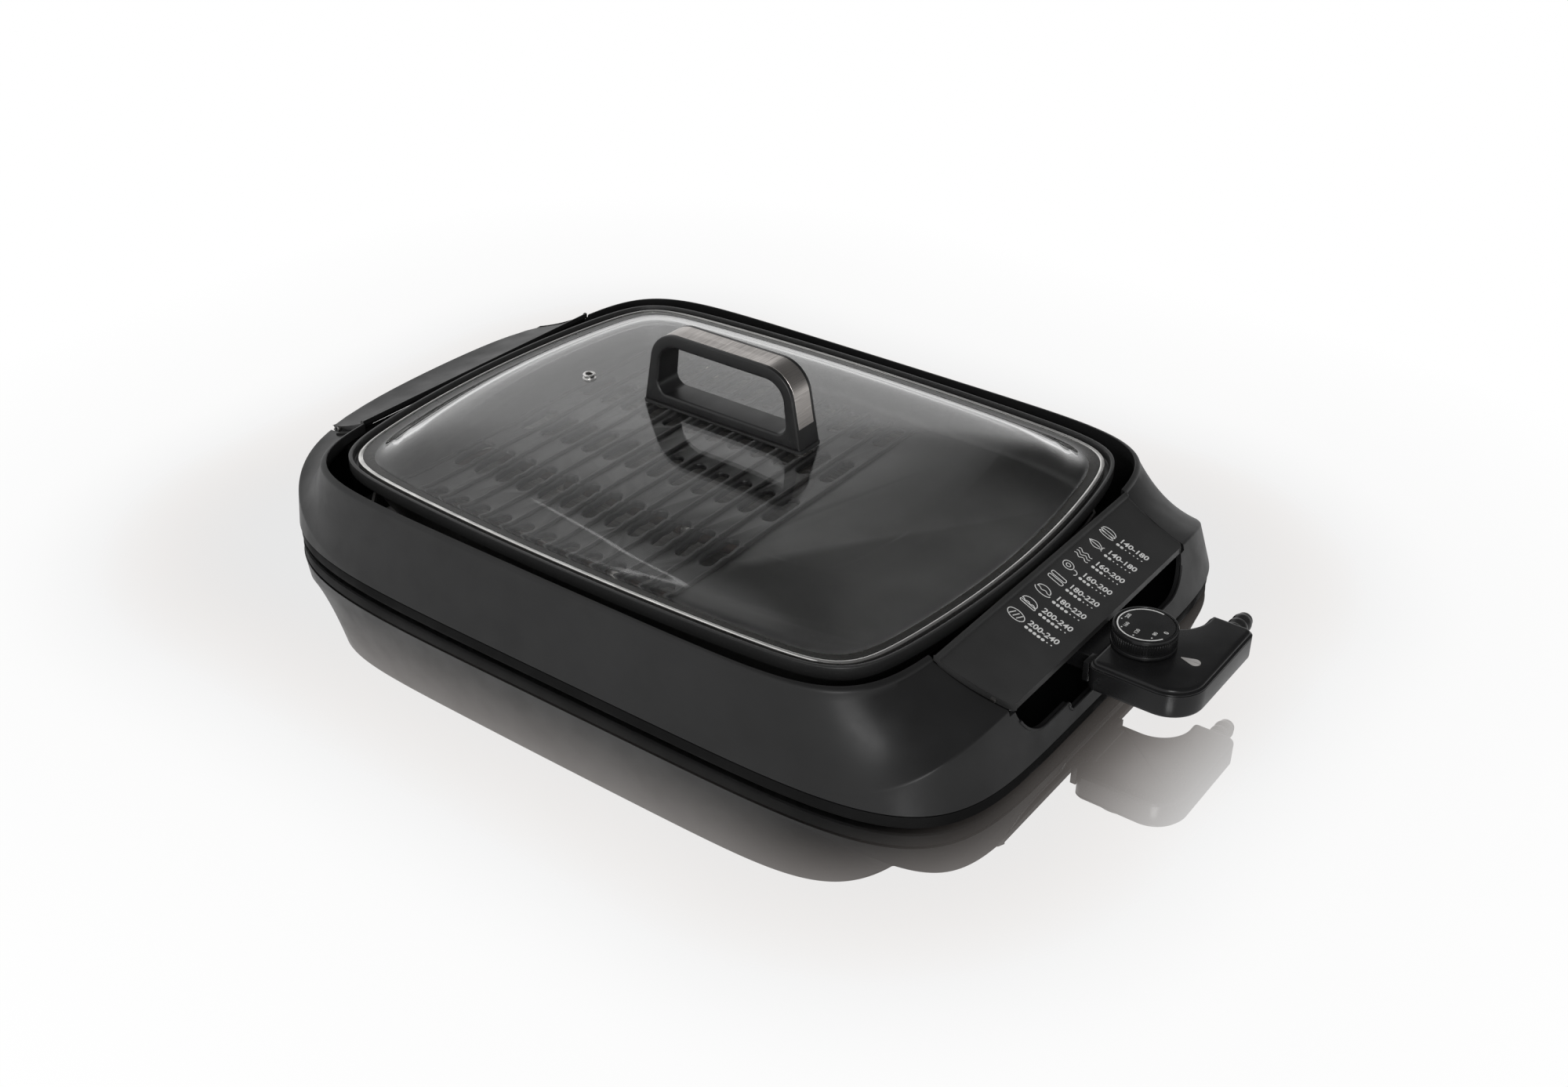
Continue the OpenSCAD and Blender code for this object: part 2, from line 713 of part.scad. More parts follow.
module terminal_screws() {
    color(steel) place() for (s = [-1, 1]) {
        rod_x(block_start + 1, block_end, -dial_off + s * 16.5, plug_z + 6, 1);
        rod_x(block_end, block_end + 1.4, -dial_off + s * 16.5, plug_z + 6, 2.2);
    }
}

function plate_pt(inset, z, th) =
    up(ol(plate_l - 2 * inset, plate_w - 2 * inset, lid_power - 2, lid_bow, th), z);

function plate_section(th) = [
    plate_pt(floor_inset - 1, plate_low, th),
    plate_pt(ledge_w + lip_t - 3.2, ledge_z - 6, th),
    plate_pt(0.6, ledge_z - 3.4, th),
    plate_pt(0, ledge_z, th),
    plate_pt(0, lip_z - 0.6, th),
    plate_pt(0.6, lip_z, th),
    plate_pt(lip_t - 0.6, lip_z, th),
    plate_pt(lip_t, lip_z - 0.6, th),
    plate_pt(lip_t + 0.2, ledge_z, th),
    plate_pt(lip_t + ledge_w, ledge_z, th),
    plate_pt(floor_inset - 1.5, cook_z + 6, th),
    plate_pt(floor_inset + 1.5, cook_z, th),
    plate_pt(floor_inset + 1.5, plate_low, th)
];

function slot_x(i) = slot_x0 - ridge_pitch * i;
function has_slot(i, j) = !(i == slot_cols - 1 && abs(j) == 2);

module drain_slot(x, y) {
    r = slot_w / 2;
    half = slot_l / 2 - r;
    block(x - r, x + r, y - half, y + half, plate_low - 1, cook_z + 1);
    for (s = [-1, 1]) translate([x, y + s * half, plate_low - 1]) cylinder(h = plate_t + 2, r = r, $fn = 32);
}

module grill_plate() {
    color(dark_plate) place() {
        ring_solid([for (i = [0:outline_steps - 1]) plate_section(360 * i / outline_steps)]);
        difference() {
            prism(plate_low, cook_z, outline(floor_l - 2, floor_w - 2, lid_power - 2, lid_bow));
            for (i = [0:slot_cols - 1]) for (j = [-2:2]) if (has_slot(i, j))
                drain_slot(slot_x(i), j * row_pitch);
        }
        for (i = [0:slot_cols]) let (x = slot_x0 + ridge_pitch * (0.5 - i), short = i == slot_cols ? 16 : 0)
            block(x - ridge_w / 2, x + ridge_w / 2, -floor_w / 2 + 8 + short, floor_w / 2 - 8 - short,
                cook_z - 0.5, cook_z + ridge_h);
    }
}

module drip_tray() {
    color(steel) place() difference() {
        block(-tray_start, tray_end, -tray_half, tray_half, tray_z, tray_top);
        block(-tray_start + 3, tray_end - tray_t, -tray_half + tray_t, tray_half - tray_t,
            tray_z + tray_t, tray_top + 1);
        for (s = [-1, 1]) rod_x(-tray_start - 1, -tray_start + 4, s * 50, tray_z + 3.8, 1.1);
    }
}

module tray_handle() {
    color(black) place() {
        difference() {
            block(-tray_start - 8, -tray_start - fit_gap, -tray_half, tray_half, tray_z, tray_top + 1.5);
            translate([-tray_start - 9.5, 40, tray_z + 1]) rotate([90, 0, 0]) cylinder(h = 80, r = 4.5);
        }
        for (s = [-1, 1]) rod_x(-tray_start - 1, -tray_start + 2.5, s * 50, tray_z + 3.8, 1);
    }
}

function lid_ring(inset, z) =
    [for (p = outline(lid_l - 2 * inset, lid_w - 2 * inset, lid_power, lid_bow)) up(p, z)];
function dome_ring(s, drop) =
    [for (p = outline(2 * dome_l * s, 2 * dome_w * s, 4, no_bow)) up(p, dome_z(s) - drop)];
// Height of the glass on the dome, s = 0 in the middle and 1 at its edge
function dome_z(s) = glass_top - 6.6 * s * s;
// Height of the glass above length x on the middle line, straight between the rings
function glass_z(x) = lookup(abs(x), [for (s = [0, 0.25, 0.5, 0.75]) [dome_l * s, dome_z(s)]]);

module lid_glass() {
    edge = band_w / 2 + 0.1;
    flange_low = flange_z - glass_t + 0.6;
    color(glass_tint) place() difference() {
        shell_solid([0, 0, dome_z(0)], concat(
            [for (s = [0.25, 0.5, 0.75]) dome_ring(s, 0)],
            [lid_ring(50, dome_z(1)), lid_ring(38, glass_top - 9), lid_ring(28, glass_top - 12.4),
             lid_ring(20, glass_top - 17), lid_ring(14, glass_top - 21.4), lid_ring(9, flange_z),
             lid_ring(edge, flange_z), lid_ring(edge, flange_low), lid_ring(12, flange_low),
             lid_ring(21, glass_top - 21.2), lid_ring(30, glass_top - 16.4),
             lid_ring(39, glass_top - 13), lid_ring(50, dome_z(1) - glass_t)],
            [for (s = [0.75, 0.5, 0.25]) dome_ring(s, glass_t)]), [0, 0, dome_z(0) - glass_t]);
        post(-vent_x, 0, seat_z - 20, seat_z, vent_d / 2 + 1);
        for (s = [-1, 1]) post(s * handle_screw_x, 0, seat_z - 20, seat_z, handle_screw_d / 2 + 0.8);
    }
}

module lid_band() {
    color(steel) place() difference() {
        prism(band_low, band_low + band_h, outline(lid_l, lid_w, lid_power, lid_bow));
        prism(band_low + 0.5, band_low + band_h + 1,
            outline(lid_l - band_w, lid_w - band_w, lid_power, lid_bow));
        prism(band_low - 1, band_low + 1, outline(lid_l - 16, lid_w - 16, lid_power, lid_bow));
    }
}

module vent_grommet() {
    r = vent_d / 2;
    top = glass_z(vent_x);
    low = top - glass_t;
    color(steel) place() translate([-vent_x, 0, 0]) rotate_extrude() polygon([
        [r, low - 1.2], [r + 2, low - 1.2], [r + 2, low - 0.3], [r + 0.9, low - 0.3],
        [r + 0.9, top + 0.3], [r + 1.7, top + 0.3], [r + 1.7, top + 0.8],
        [r + 1.3, top + 1.2], [r + 0.4, top + 1.2], [r, top + 0.8]]);
}

// Side view of the handle, drawn in by inset
module handle_outline(inset) {
    union() {
        polygon([[-handle_foot + inset, seat_z], [handle_foot - inset, seat_z],
            [handle_top - inset, shoulder_z], [-handle_top + inset, shoulder_z]]);
        translate([-handle_top + handle_r, shoulder_z - 10])
            square([2 * (handle_top - handle_r), handle_r + 10 - inset]);
        for (s = [-1, 1]) translate([s * (handle_top - handle_r), shoulder_z])
            circle(handle_r - inset, $fn = 96);
    }
}

module grip_outline() {
    low_x = handle_foot - leg_t - 1.2;
    top_x = handle_top - leg_t;
    union() {
        polygon([[-low_x, grip_low + grip_r_low], [low_x, grip_low + grip_r_low],
            [top_x, bar_z - grip_r_top], [-top_x, bar_z - grip_r_top]]);
        translate([-top_x + grip_r_top, bar_z - grip_r_top - 5])
            square([2 * (top_x - grip_r_top), grip_r_top + 5]);
        translate([-low_x + grip_r_low, grip_low]) square([2 * (low_x - grip_r_low), grip_r_low + 5]);
        for (s = [-1, 1]) {
            translate([s * (top_x - grip_r_top), bar_z - grip_r_top]) circle(grip_r_top, $fn = 96);
            translate([s * (low_x - grip_r_low), grip_low + grip_r_low]) circle(grip_r_low, $fn = 64);
        }
    }
}

module on_edge(d) {
    translate([0, d / 2, 0]) rotate([90, 0, 0]) linear_extrude(d) children();
}

module strip_shape(grow) {
    difference() {
        on_edge(strip_w + 2 * grow) difference() {
            handle_outline(0);
            handle_outline(strip_t + grow);
        }
        block(-handle_foot - 5, handle_foot + 5, -20, 20, 0, strip_low - grow);
    }
}

module handle_body() {
    color(black) place() difference() {
        on_edge(handle_d) difference() {
            handle_outline(0);
            grip_outline();
        }
        strip_shape(0.05);
        for (s = [-1, 1]) post(s * handle_screw_x, 0, seat_z - 1, seat_z + 14, handle_screw_d / 2 + 0.05);
    }
}

module handle_strip() {
    color(steel) place() strip_shape(0);
}

module handle_seat() {
    edge = handle_foot + 1;
    xs = [-edge, -dome_l * 0.25, 0, dome_l * 0.25, edge];
    color(black) place() difference() {
        translate([0, handle_d / 2 + 1, 0]) rotate([90, 0, 0]) linear_extrude(handle_d + 2)
            polygon(concat([for (x = xs) [x, glass_z(x) + 0.06]],
                [[edge, seat_z - 0.05], [-edge, seat_z - 0.05]]));
        for (s = [-1, 1]) post(s * handle_screw_x, 0, seat_z - 8, seat_z + 1, handle_screw_d / 2 + 0.8);
    }
}

function under_glass() = glass_z(handle_screw_x + 8) - glass_t - 0.05;

module handle_screws() {
    color(steel) place() for (s = [-1, 1])
        screw_up(s * handle_screw_x, 0, under_glass() - 1.2, seat_z + 12 - under_glass(), handle_screw_d, 8);
}

module handle_washers() {
    color(steel) place() for (s = [-1, 1]) difference() {
        post(s * handle_screw_x, 0, under_glass() - 1.2, under_glass(), 6.5);
        post(s * handle_screw_x, 0, under_glass() - 3, under_glass() + 2, handle_screw_d / 2 + 0.2);
    }
}

// Rounds a corner of a plan outline; sx and sy point out of the corner
module corner_off(x, y, r, sx, sy) {
    difference() {
        translate([sx > 0 ? x - r : x - 5, sy > 0 ? y - r : y - 5]) square([r + 5, r + 5]);
        translate([x - sx * r, y - sy * r]) circle(r, $fn = 96);
        translate([sx > 0 ? x - 2 * r : x - 5, y - sy * r - (sy > 0 ? r + 5 : 0)]) square([2 * r + 5, r + 5]);
        translate([x - sx * r - (sx > 0 ? r + 5 : 0), sy > 0 ? y - 2 * r : y - 5]) square([r + 5, 2 * r + 5]);
    }
}

// Plan outline of the thermostat body, drawn in by i
module pod_outline(i) {
    difference() {
        translate([pod_start + i, -pod_front + i])
            square([pod_end - pod_start - 2 * i, pod_front + pod_back - 2 * i]);
        corner_off(pod_end - i, -pod_front + i, 20 - i, 1, -1);
        corner_off(pod_start + i, -pod_front + i, 5 - i, -1, -1);
        corner_off(pod_end - i, pod_back - i, 5 - i, 1, 1);
        translate([bite_x, bite_y]) circle(bite_r + i, $fn = 96);
        translate([bite_x - 30, bite_y]) square([30 + bite_r + i, 20]);
        translate([bite_x - 30, bite_y - bite_r - i]) square([30, 40]);
    }
}

function pod_screw_places() = [[half_l + 8, -30], [half_l + 50, -12], [half_l + 38, 33]];

module pod_upper_shell() {
    color(black) place() difference() {
        union() {
            difference() {
                translate([0, 0, pod_part + 0.05]) linear_extrude(pod_top - pod_part - 0.05) pod_outline(0);
                translate([0, 0, pod_part - 1]) linear_extrude(pod_top - pod_part - 1) pod_outline(pod_wall);
            }
            post(dial_x, -dial_off, pod_part - 1.2, pod_top - 1, spindle_d / 2 + 2);
            for (p = pod_screw_places()) post(p[0], p[1], pod_part - 0.2, pod_top - 1, 3);
        }
        post(dial_x, -dial_off, pod_part - 5, pod_top + 1, spindle_d / 2 + spindle_gap);
        for (p = pod_screw_places()) post(p[0], p[1], pod_part - 1, pod_top - 1, screw_d / 2);
        translate([0, 0, pod_top - 3]) linear_extrude(5) teardrop(fit_gap);
    }
}

module pod_lower_shell() {
    color(black) place() difference() {
        union() {
            difference() {
                translate([0, 0, pod_low]) linear_extrude(pod_part - pod_low) pod_outline(0);
                translate([0, 0, pod_low + pod_wall]) linear_extrude(pod_part) pod_outline(pod_wall);
            }
            for (p = pod_screw_places()) post(p[0], p[1], pod_low + 1, pod_part - 0.4, 3.4);
        }
        for (p = pod_screw_places()) {
            post(p[0], p[1], pod_low - 1, pod_part + 1, screw_d / 2 + 0.2);
            post(p[0], p[1], pod_low - 1, pod_low + 3, screw_head / 2 + 0.2);
        }
        block(pod_start - 2, pod_start + neck_in + 0.1,
            -dial_off - neck_half - 0.1, -dial_off + neck_half + 0.1,
            plug_z - neck_half_h - 0.1, plug_z + neck_half_h + 0.1);
        translate([boot_x, pod_back + 1, boot_z]) rotate([90, 0, 0]) cylinder(h = 6, r = boot_r - 1.6 + 0.05);
    }
}

module plug_neck() {
    color(black) place() difference() {
        block(neck_start, pod_start + neck_in, -dial_off - neck_half, -dial_off + neck_half,
            plug_z - neck_half_h, plug_z + neck_half_h);
        for (s = [-1, 1]) rod_x(neck_start - 1, neck_start + 22, -dial_off + s * pin_pitch / 2, plug_z,
            pin_d / 2 + plug_gap + 1);
        rod_x(neck_start - 1, pod_start + 6, -dial_off, plug_z, rod_d / 2 + 0.02);
        for (s = [-1, 1]) translate([0, -dial_off + s * (neck_half - 0.5), 0])
            block(neck_start + 26, pod_start - 6, -1.5, 1.5, 0, body_h);
    }
}

module sensing_rod() {
    color(steel) place() {
        rod_x(block_start + 1.5, pod_start + 7, -dial_off, plug_z, rod_d / 2);
        translate([block_start + 1.5, -dial_off, plug_z]) sphere(r = rod_d / 2);
    }
}

module plug_contacts() {
    bore_r = pin_d / 2 + plug_gap;
    color(brass) place() for (y = [-dial_off - pin_pitch / 2, -dial_off + pin_pitch / 2]) difference() {
        rod_x(neck_start + 0.5, neck_start + 21.5, y, plug_z, bore_r + 0.95);
        rod_x(neck_start - 1, neck_start + 17, y, plug_z, bore_r);
    }
}

module thermostat_switch() {
    z = pod_low + pod_wall + 0.1;
    color(ceramic_white) place() {
        post(dial_x, -dial_off, z, pod_part - 5, 7);
        block(dial_x - 4, dial_x + 18, -dial_off - 14, -dial_off + 14, z, z + 6);
    }
}

module teardrop(grow) {
    union() {
        translate([dial_x + 28.6, -dial_off]) circle(3.6 + grow, $fn = 48);
        translate([dial_x, -dial_off])
            polygon([[21 - grow, 0], [27.4, -3.2 - grow], [27.4, 3.2 + grow]]);
    }
}

module pilot_lens() {
    color([0.5, 0.49, 0.47]) place() translate([0, 0, pod_top - 2]) linear_extrude(2.2) teardrop(0);
}

module cord_boot() {
    r = boot_r;
    color(black) place() translate([boot_x, pod_back, boot_z]) rotate([-90, 0, 0]) rotate_extrude() polygon([
        [cord_d / 2, -4], [r - 0.4, -4], [r - 0.4, -pod_wall - 0.1], [r - 1.6, -pod_wall - 0.1],
        [r - 1.6, 0.1], [r, 0.1], [r, 4], [r - 1.4, 4.6], [r - 1.4, 6.4], [r - 0.2, 7], [r - 0.2, 9.6],
        [r - 1.6, 10.2], [r - 1.6, 11.8], [r - 0.5, 12.4], [r - 0.5, 15.4], [r - 1.3, boot_l - 1],
        [r - 2.2, boot_l], [cord_d / 2, boot_l]]);
}

module pod_screws() {
    color(steel) place() for (p = pod_screw_places())
        screw_up(p[0], p[1], pod_low + 3, pod_top - pod_low - 6, screw_d - 0.1, screw_head);
}

module dial_knob() {
    r = dial_d / 2;
    color(black) place() translate([dial_x, -dial_off, dial_z]) difference() {
        union() {
            cylinder(h = dial_h - 1, r = r, $fn = 96);
            cylinder(h = dial_h, r = r - 0.7, $fn = 96);
        }
        translate([0, 0, dial_h - 1]) cylinder(h = 2, r = r - 1.6, $fn = 96);
        difference() {
            translate([0, 0, -1]) cylinder(h = dial_h - 2, r = r - 2);
            translate([0, 0, -2]) cylinder(h = dial_h + 2, r = spindle_d / 2 + 2.2);
        }
        translate([0, 0, -1]) cylinder(h = dial_h - 2, r = spindle_d / 2 + 0.02);
        for (i = [0:35]) rotate([0, 0, i * 10]) translate([r + 0.15, 0, -1])
            cylinder(h = dial_h - 2, r = 0.6, $fn = 16);
    }
}

module dial_spindle() {
    color(steel) place() post(dial_x, -dial_off, pod_part - 4.8, dial_z + dial_h - 3.2, spindle_d / 2);
}

module dial_disc() {
    top = dial_z + dial_h;
    color(satin) place() post(dial_x, -dial_off, top - 0.98, top - 0.1, dial_d / 2 - 1.7);
}

outer_housing();
left_end_cover();
guide_panel();
base_pan();
rubber_feet();
base_screws();
cover_screws();
liner();
plate_rests();
tray_rails();
grease_guides();
heater_tube();
heater_bars();
heater_clips();
terminal_block();
terminal_pins();
terminal_screws();
grill_plate();
drip_tray();
tray_handle();
lid_glass();
lid_band();
vent_grommet();
handle_body();
handle_strip();
handle_seat();
handle_screws();
handle_washers();
pod_upper_shell();
pod_lower_shell();
plug_neck();
sensing_rod();
plug_contacts();
thermostat_switch();
pilot_lens();
cord_boot();
pod_screws();
dial_knob();
dial_spindle();
dial_disc();
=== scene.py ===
"""Looks of an electric indoor grill with a lift-off glass lid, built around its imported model.

Shapes are worked out in millimetres in the grill's own frame: X runs from the middle of the
housing to the thermostat, -Y is the front and Z rises from the table. make_piece turns them
into metres in the row frame. A loop is a closed line of points, a ring is a loop in space, and
a stack of rings is a solid.
"""

from types import SimpleNamespace

import bmesh
import bpy
import numpy as np
from bpy.props import FloatProperty, FloatVectorProperty, IntProperty, PointerProperty
from mathutils import Matrix, Vector


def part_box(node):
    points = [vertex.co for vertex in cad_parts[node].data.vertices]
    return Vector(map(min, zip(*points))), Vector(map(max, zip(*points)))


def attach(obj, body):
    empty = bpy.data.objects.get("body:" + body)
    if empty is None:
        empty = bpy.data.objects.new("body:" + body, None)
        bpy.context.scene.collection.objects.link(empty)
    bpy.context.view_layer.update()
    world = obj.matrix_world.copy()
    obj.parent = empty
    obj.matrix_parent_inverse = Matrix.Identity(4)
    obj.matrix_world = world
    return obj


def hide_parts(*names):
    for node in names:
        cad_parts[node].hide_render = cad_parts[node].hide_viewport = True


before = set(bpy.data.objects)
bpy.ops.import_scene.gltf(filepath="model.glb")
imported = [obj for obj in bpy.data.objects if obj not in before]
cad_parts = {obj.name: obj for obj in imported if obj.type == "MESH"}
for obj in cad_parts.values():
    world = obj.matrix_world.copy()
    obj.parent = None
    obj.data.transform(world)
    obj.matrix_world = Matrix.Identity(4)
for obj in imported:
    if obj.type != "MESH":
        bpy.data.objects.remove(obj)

bl_info = {
    "name": "Electric Grill Looks",
    "version": (1, 0, 0),
    "blender": (4, 5, 0),
    "location": "3D Viewport > Sidebar > Grill",
    "description": "Builds the visible surfaces and finishes of an electric grill",
    "category": "Object",
}

MM = 0.001
TAU = 2 * np.pi
RING_STEPS = 420
CORNER_STEPS = 10
SHARP_ANGLE = np.radians(34)
# Outlines: the power of each superellipse, and how far its sides are drawn in towards the corners
NO_BOW = (0.0, 0.0)
RIM_POWER, RIM_BOW = 7.6, (0.025, 0.01)
PLATE_POWER, LID_POWER, PLATE_BOW = 12, 14, (0.084, 0.055)
DOME_POWER = 4
# Millimetres from here on: how far the wing sags below a straight line, everywhere and half way round
SAG, CORNER_SAG = 3.0, 14.0
# Least height of the wall below the crease, outside and inside
LEAST_WALL, LEAST_INNER_WALL = 0.6, 0.4
# The dome's part within the lid's sloping border, and how far it falls to its edge
DOME_INSET, DOME_FALL = 50, 6.6
# Share of the way from the dome's middle at which its rings begin to take up the lid's outline
SQUARE_START = 0.35
BAND_HEIGHT, FLANGE_DROP, SEAT_RISE = 3.7, 0.2, 1.0
POD_GAP, DIAL_REACH, BOOT_REACH = 0.2, 15.9, 44.7
BOOT_HEIGHT, PLUG_HEIGHT = 36.0, 33.0
# Height of a figure of size 1 in the built-in typeface
CAPITAL = 0.69


def node_box(node):
    """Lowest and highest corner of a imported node, in millimetres in the row frame."""
    low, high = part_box(node)
    return np.array(low) / MM, np.array(high) / MM


BASE_BOX = node_box("base_pan")
PLATE_BOX = node_box("grill_plate")
BAND_BOX = node_box("lid_band")
STRIP_BOX = node_box("handle_strip")
POD_BOX = node_box("pod_lower_shell")
DIAL_BOX = node_box("dial_knob")
TRAY_BOX = node_box("drip_tray")
# How far the grill's own frame lies from the row frame along X
SHIFT = (PLATE_BOX[0][0] + PLATE_BOX[1][0]) / 2
RIGHT_END = float(BASE_BOX[1][0] - SHIFT) * MM


def span_of(corners, axis):
    """Length of a box along one axis, in metres."""
    return float(corners[1][axis] - corners[0][axis]) * MM


def length(metres, words):
    """A size that a user would change."""
    return FloatProperty(description=words, default=metres, min=0.0, precision=4, unit="LENGTH")


def number(value, words):
    """A plain number that a user would change."""
    return FloatProperty(description=words, default=value)


def whole(value, words):
    """A whole number that a user would change."""
    return IntProperty(description=words, default=value)


def colour(value, words):
    """A colour that a user would change."""
    return FloatVectorProperty(description=words, default=value, size=3, min=0.0, max=1.0, subtype="COLOR")


def vector(value, words):
    """A place or a direction."""
    return FloatVectorProperty(description=words, default=value, subtype="XYZ")


class HousingSizes(bpy.types.PropertyGroup):
    """Sizes of the housing, its covers and its base."""

    body_length: length(2 * RIGHT_END, "Housing length at the base, without the left end's inset")
    body_depth: length(span_of(BASE_BOX, 1), "Housing depth at the base")
    rim_height: length(0.0625, "Height of the rim above the table")
    mouth_length: length(0.419, "Length of the opening inside the rim")
    mouth_depth: length(0.335, "Depth of the opening inside the rim")
    base_height: length(0.010, "Height of the black base band")
    base_low: length(0.0012, "Height of the base's underside")
    wall: length(0.003, "Wall of the moulded housing")
    rim_radius: length(0.003, "Rounding of the rim")
    crease_low: length(0.0086, "Height of the wing crease at the middle")
    crease_rise: length(0.0366, "Rise of the wing crease to the ends")
    end_lean: number(0.3, "Inward lean of the end walls per height")
    side_lean: number(0.158, "Inward lean of the long walls per height")
    right_power: number(6.3, "How square the right corners are")
    left_power: number(4.8, "How square the left corners are")
    left_arch: length(0.0038, "Rise of the left cover's outer edge at its middle")
    cover_inner: length(0.103, "Half width of an end cover at the rim")
    cover_outer: length(0.0955, "Half width of its outer edge")
    cover_thickness: length(0.003, "Thickness of an end cover")
    cover_seam: length(0.0012, "Seam between a cover and the housing")
    port_half: length(0.094, "Half width of the thermostat opening")
    port_low: length(0.022, "Lower edge of the thermostat opening")
    notch_low: length(0.017, "Lower edge of its deeper middle stretch")
    port_radius: length(0.024, "Corner radius of the thermostat opening")


class PlateSizes(bpy.types.PropertyGroup):
    """Sizes of the grill plate and the drip tray."""

    plate_length: length(span_of(PLATE_BOX, 0), "Plate length over its lip")
    plate_depth: length(span_of(PLATE_BOX, 1), "Plate depth over its lip")
    lip_height: length(float(PLATE_BOX[1][2]) * MM, "Top of the lip")
    ledge_height: length(0.0584, "Ledge that the lid rests on")
    cook_height: length(0.0366, "Height of the cooking surface")
    floor_thickness: length(0.0034, "Thickness of the plate floor")
    floor_inset: length(0.0157, "Inset of the flat floor from the lip")
    ridge_pitch: length(0.0179, "Distance between two ridges")
    ridge_width: length(0.003, "Width of a ridge")
    ridge_height: length(0.0018, "Height of a ridge")
    slot_length: length(0.031, "Length of a drain slot")
    slot_width: length(0.0092, "Width of a drain slot")
    row_pitch: length(0.058, "Distance between two rows of slots")
    slot_columns: whole(12, "Columns of slots")
    ridged_end: length(0.048, "Right edge of the ridged field")


class LidSizes(bpy.types.PropertyGroup):
    """Sizes of the lid and its handle."""

    lid_length: length(span_of(BAND_BOX, 0), "Lid length over its steel rim")
    lid_depth: length(span_of(BAND_BOX, 1), "Lid depth over its steel rim")
    band_low: length(float(BAND_BOX[0][2]) * MM, "Underside of the steel rim")
    glass_rise: length(0.0246, "Rise of the glass above its flange")
    glass_thickness: length(0.0036, "Thickness of the glass")
    vent_place: length(0.1125, "Distance of the vent from the middle")
    vent_width: length(0.0045, "Diameter of the steam hole")
    handle_foot: length(0.058, "Half length of the handle at its foot")
    handle_top: length(0.053, "Half length of the handle at its shoulders")
    handle_depth: length(0.0195, "Depth of the handle, front to back")
    handle_height: length(float(STRIP_BOX[1][2]) * MM, "Top of the handle")
    handle_radius: length(0.020, "Outer corner radius of the handle")
    bar_thickness: length(0.008, "Thickness of the top bar")
    foot_thickness: length(0.0065, "Thickness of the lower bar")
    strip_thickness: length(0.0008, "Thickness of the steel strip")
    strip_width: length(0.0144, "Width of the steel strip")


class ThermostatSizes(bpy.types.PropertyGroup):
    """Sizes of the thermostat and its dial."""

    dial_offset: length(0.0064, "Dial centre towards the front")
    dial_diameter: length(span_of(DIAL_BOX, 0), "Diameter of the dial")
    dial_low: length(float(DIAL_BOX[0][2]) * MM, "Underside of the dial")
    dial_height: length(span_of(DIAL_BOX, 2), "Height of the dial")
    rib_count: whole(72, "Ribs round the dial")
    pod_reach: length(0.0577, "How far the body stands out of the housing")
    pod_front: length(0.0385, "Distance of its front side from the middle")
    pod_back: length(0.0415, "Distance of its rear side from the middle")
    pod_low: length(float(POD_BOX[0][2]) * MM, "Underside of the body")
    pod_joint: length(float(POD_BOX[1][2]) * MM, "Joint between its shells")
    pod_top: length(0.045, "Top of the body")
    pod_wall: length(0.002, "Wall of the body")
    boot_length: length(0.019, "Length of the cord boot")
    boot_radius: length(0.0062, "Radius of the cord boot")
    cord_hole: length(0.0068, "Diameter of the cord hole")


class GuidePrint(bpy.types.PropertyGroup):
    """Layout of the printed cooking guide."""

    rows: whole(8, "Number of rows")
    first_row: length(0.065, "Place of the rearmost row")
    row_step: length(0.0147, "Distance between two rows")
    icon_place: length(0.012, "Icon centre down the slope")
    text_place: length(0.0195, "Start of the figures down the slope")
    line_width: length(0.00055, "Width of an icon's line")
    figure_height: length(0.0040, "Height of the figures")


class StageSettings(bpy.types.PropertyGroup):
    """Camera and studio light."""

    lens: number(39.93, "Focal length in mm")
    roll: number(np.radians(0.224), "Turn about the view line, in radians")
    eye: vector((0.53804, -0.71923, 0.56282), "Camera place")
    aim: vector((-0.50736, 0.68563, -0.52202), "View direction")
    floor_colour: colour((0.9, 0.9, 0.9), "Colour of the floor")
    key_power: number(3.4, "Power of the key lamp")
    front_power: number(13.0, "Power of the front lamp")
    strip_power: number(0.13, "Power of the narrow lamp")


class FinishColours(bpy.types.PropertyGroup):
    """Base colours of the finishes."""

    housing: colour((0.010, 0.010, 0.0102), "Satin black moulding")
    guide: colour((0.022, 0.022, 0.022), "Lighter black moulding")
    pod: colour((0.007, 0.007, 0.0073), "Heat-resistant black moulding")
    base: colour((0.003, 0.003, 0.003), "Matt black base")
    coating: colour((0.020, 0.020, 0.020), "Non-stick coating")
    sheet: colour((0.42, 0.41, 0.40), "Aluminised sheet steel")
    steel: colour((0.62, 0.60, 0.58), "Stainless steel")
    rim_steel: colour((0.90, 0.89, 0.87), "Polished steel of the lid's rim")
    strip: colour((0.62, 0.585, 0.56), "Brushed strip of the handle")
    glass: colour((0.95, 0.95, 0.945), "Tempered glass")
    ink: colour((0.64, 0.64, 0.63), "Pale grey print")
    ceramic: colour((0.75, 0.71, 0.62), "Ceramic insulator")
    brass: colour((0.62, 0.43, 0.16), "Spring brass")
    boot: colour((0.010, 0.010, 0.010), "Rubber of the cord boot")
    rubber: colour((0.012, 0.012, 0.012), "Rubber of the feet and the handle's seat")
    lens: colour((0.30, 0.29, 0.28), "Smoky plastic of the pilot window")


GROUPS = {
    "grill_housing": HousingSizes,
    "grill_plate": PlateSizes,
    "grill_lid": LidSizes,
    "grill_thermostat": ThermostatSizes,
    "grill_guide": GuidePrint,
    "grill_stage": StageSettings,
    "grill_colours": FinishColours,
}


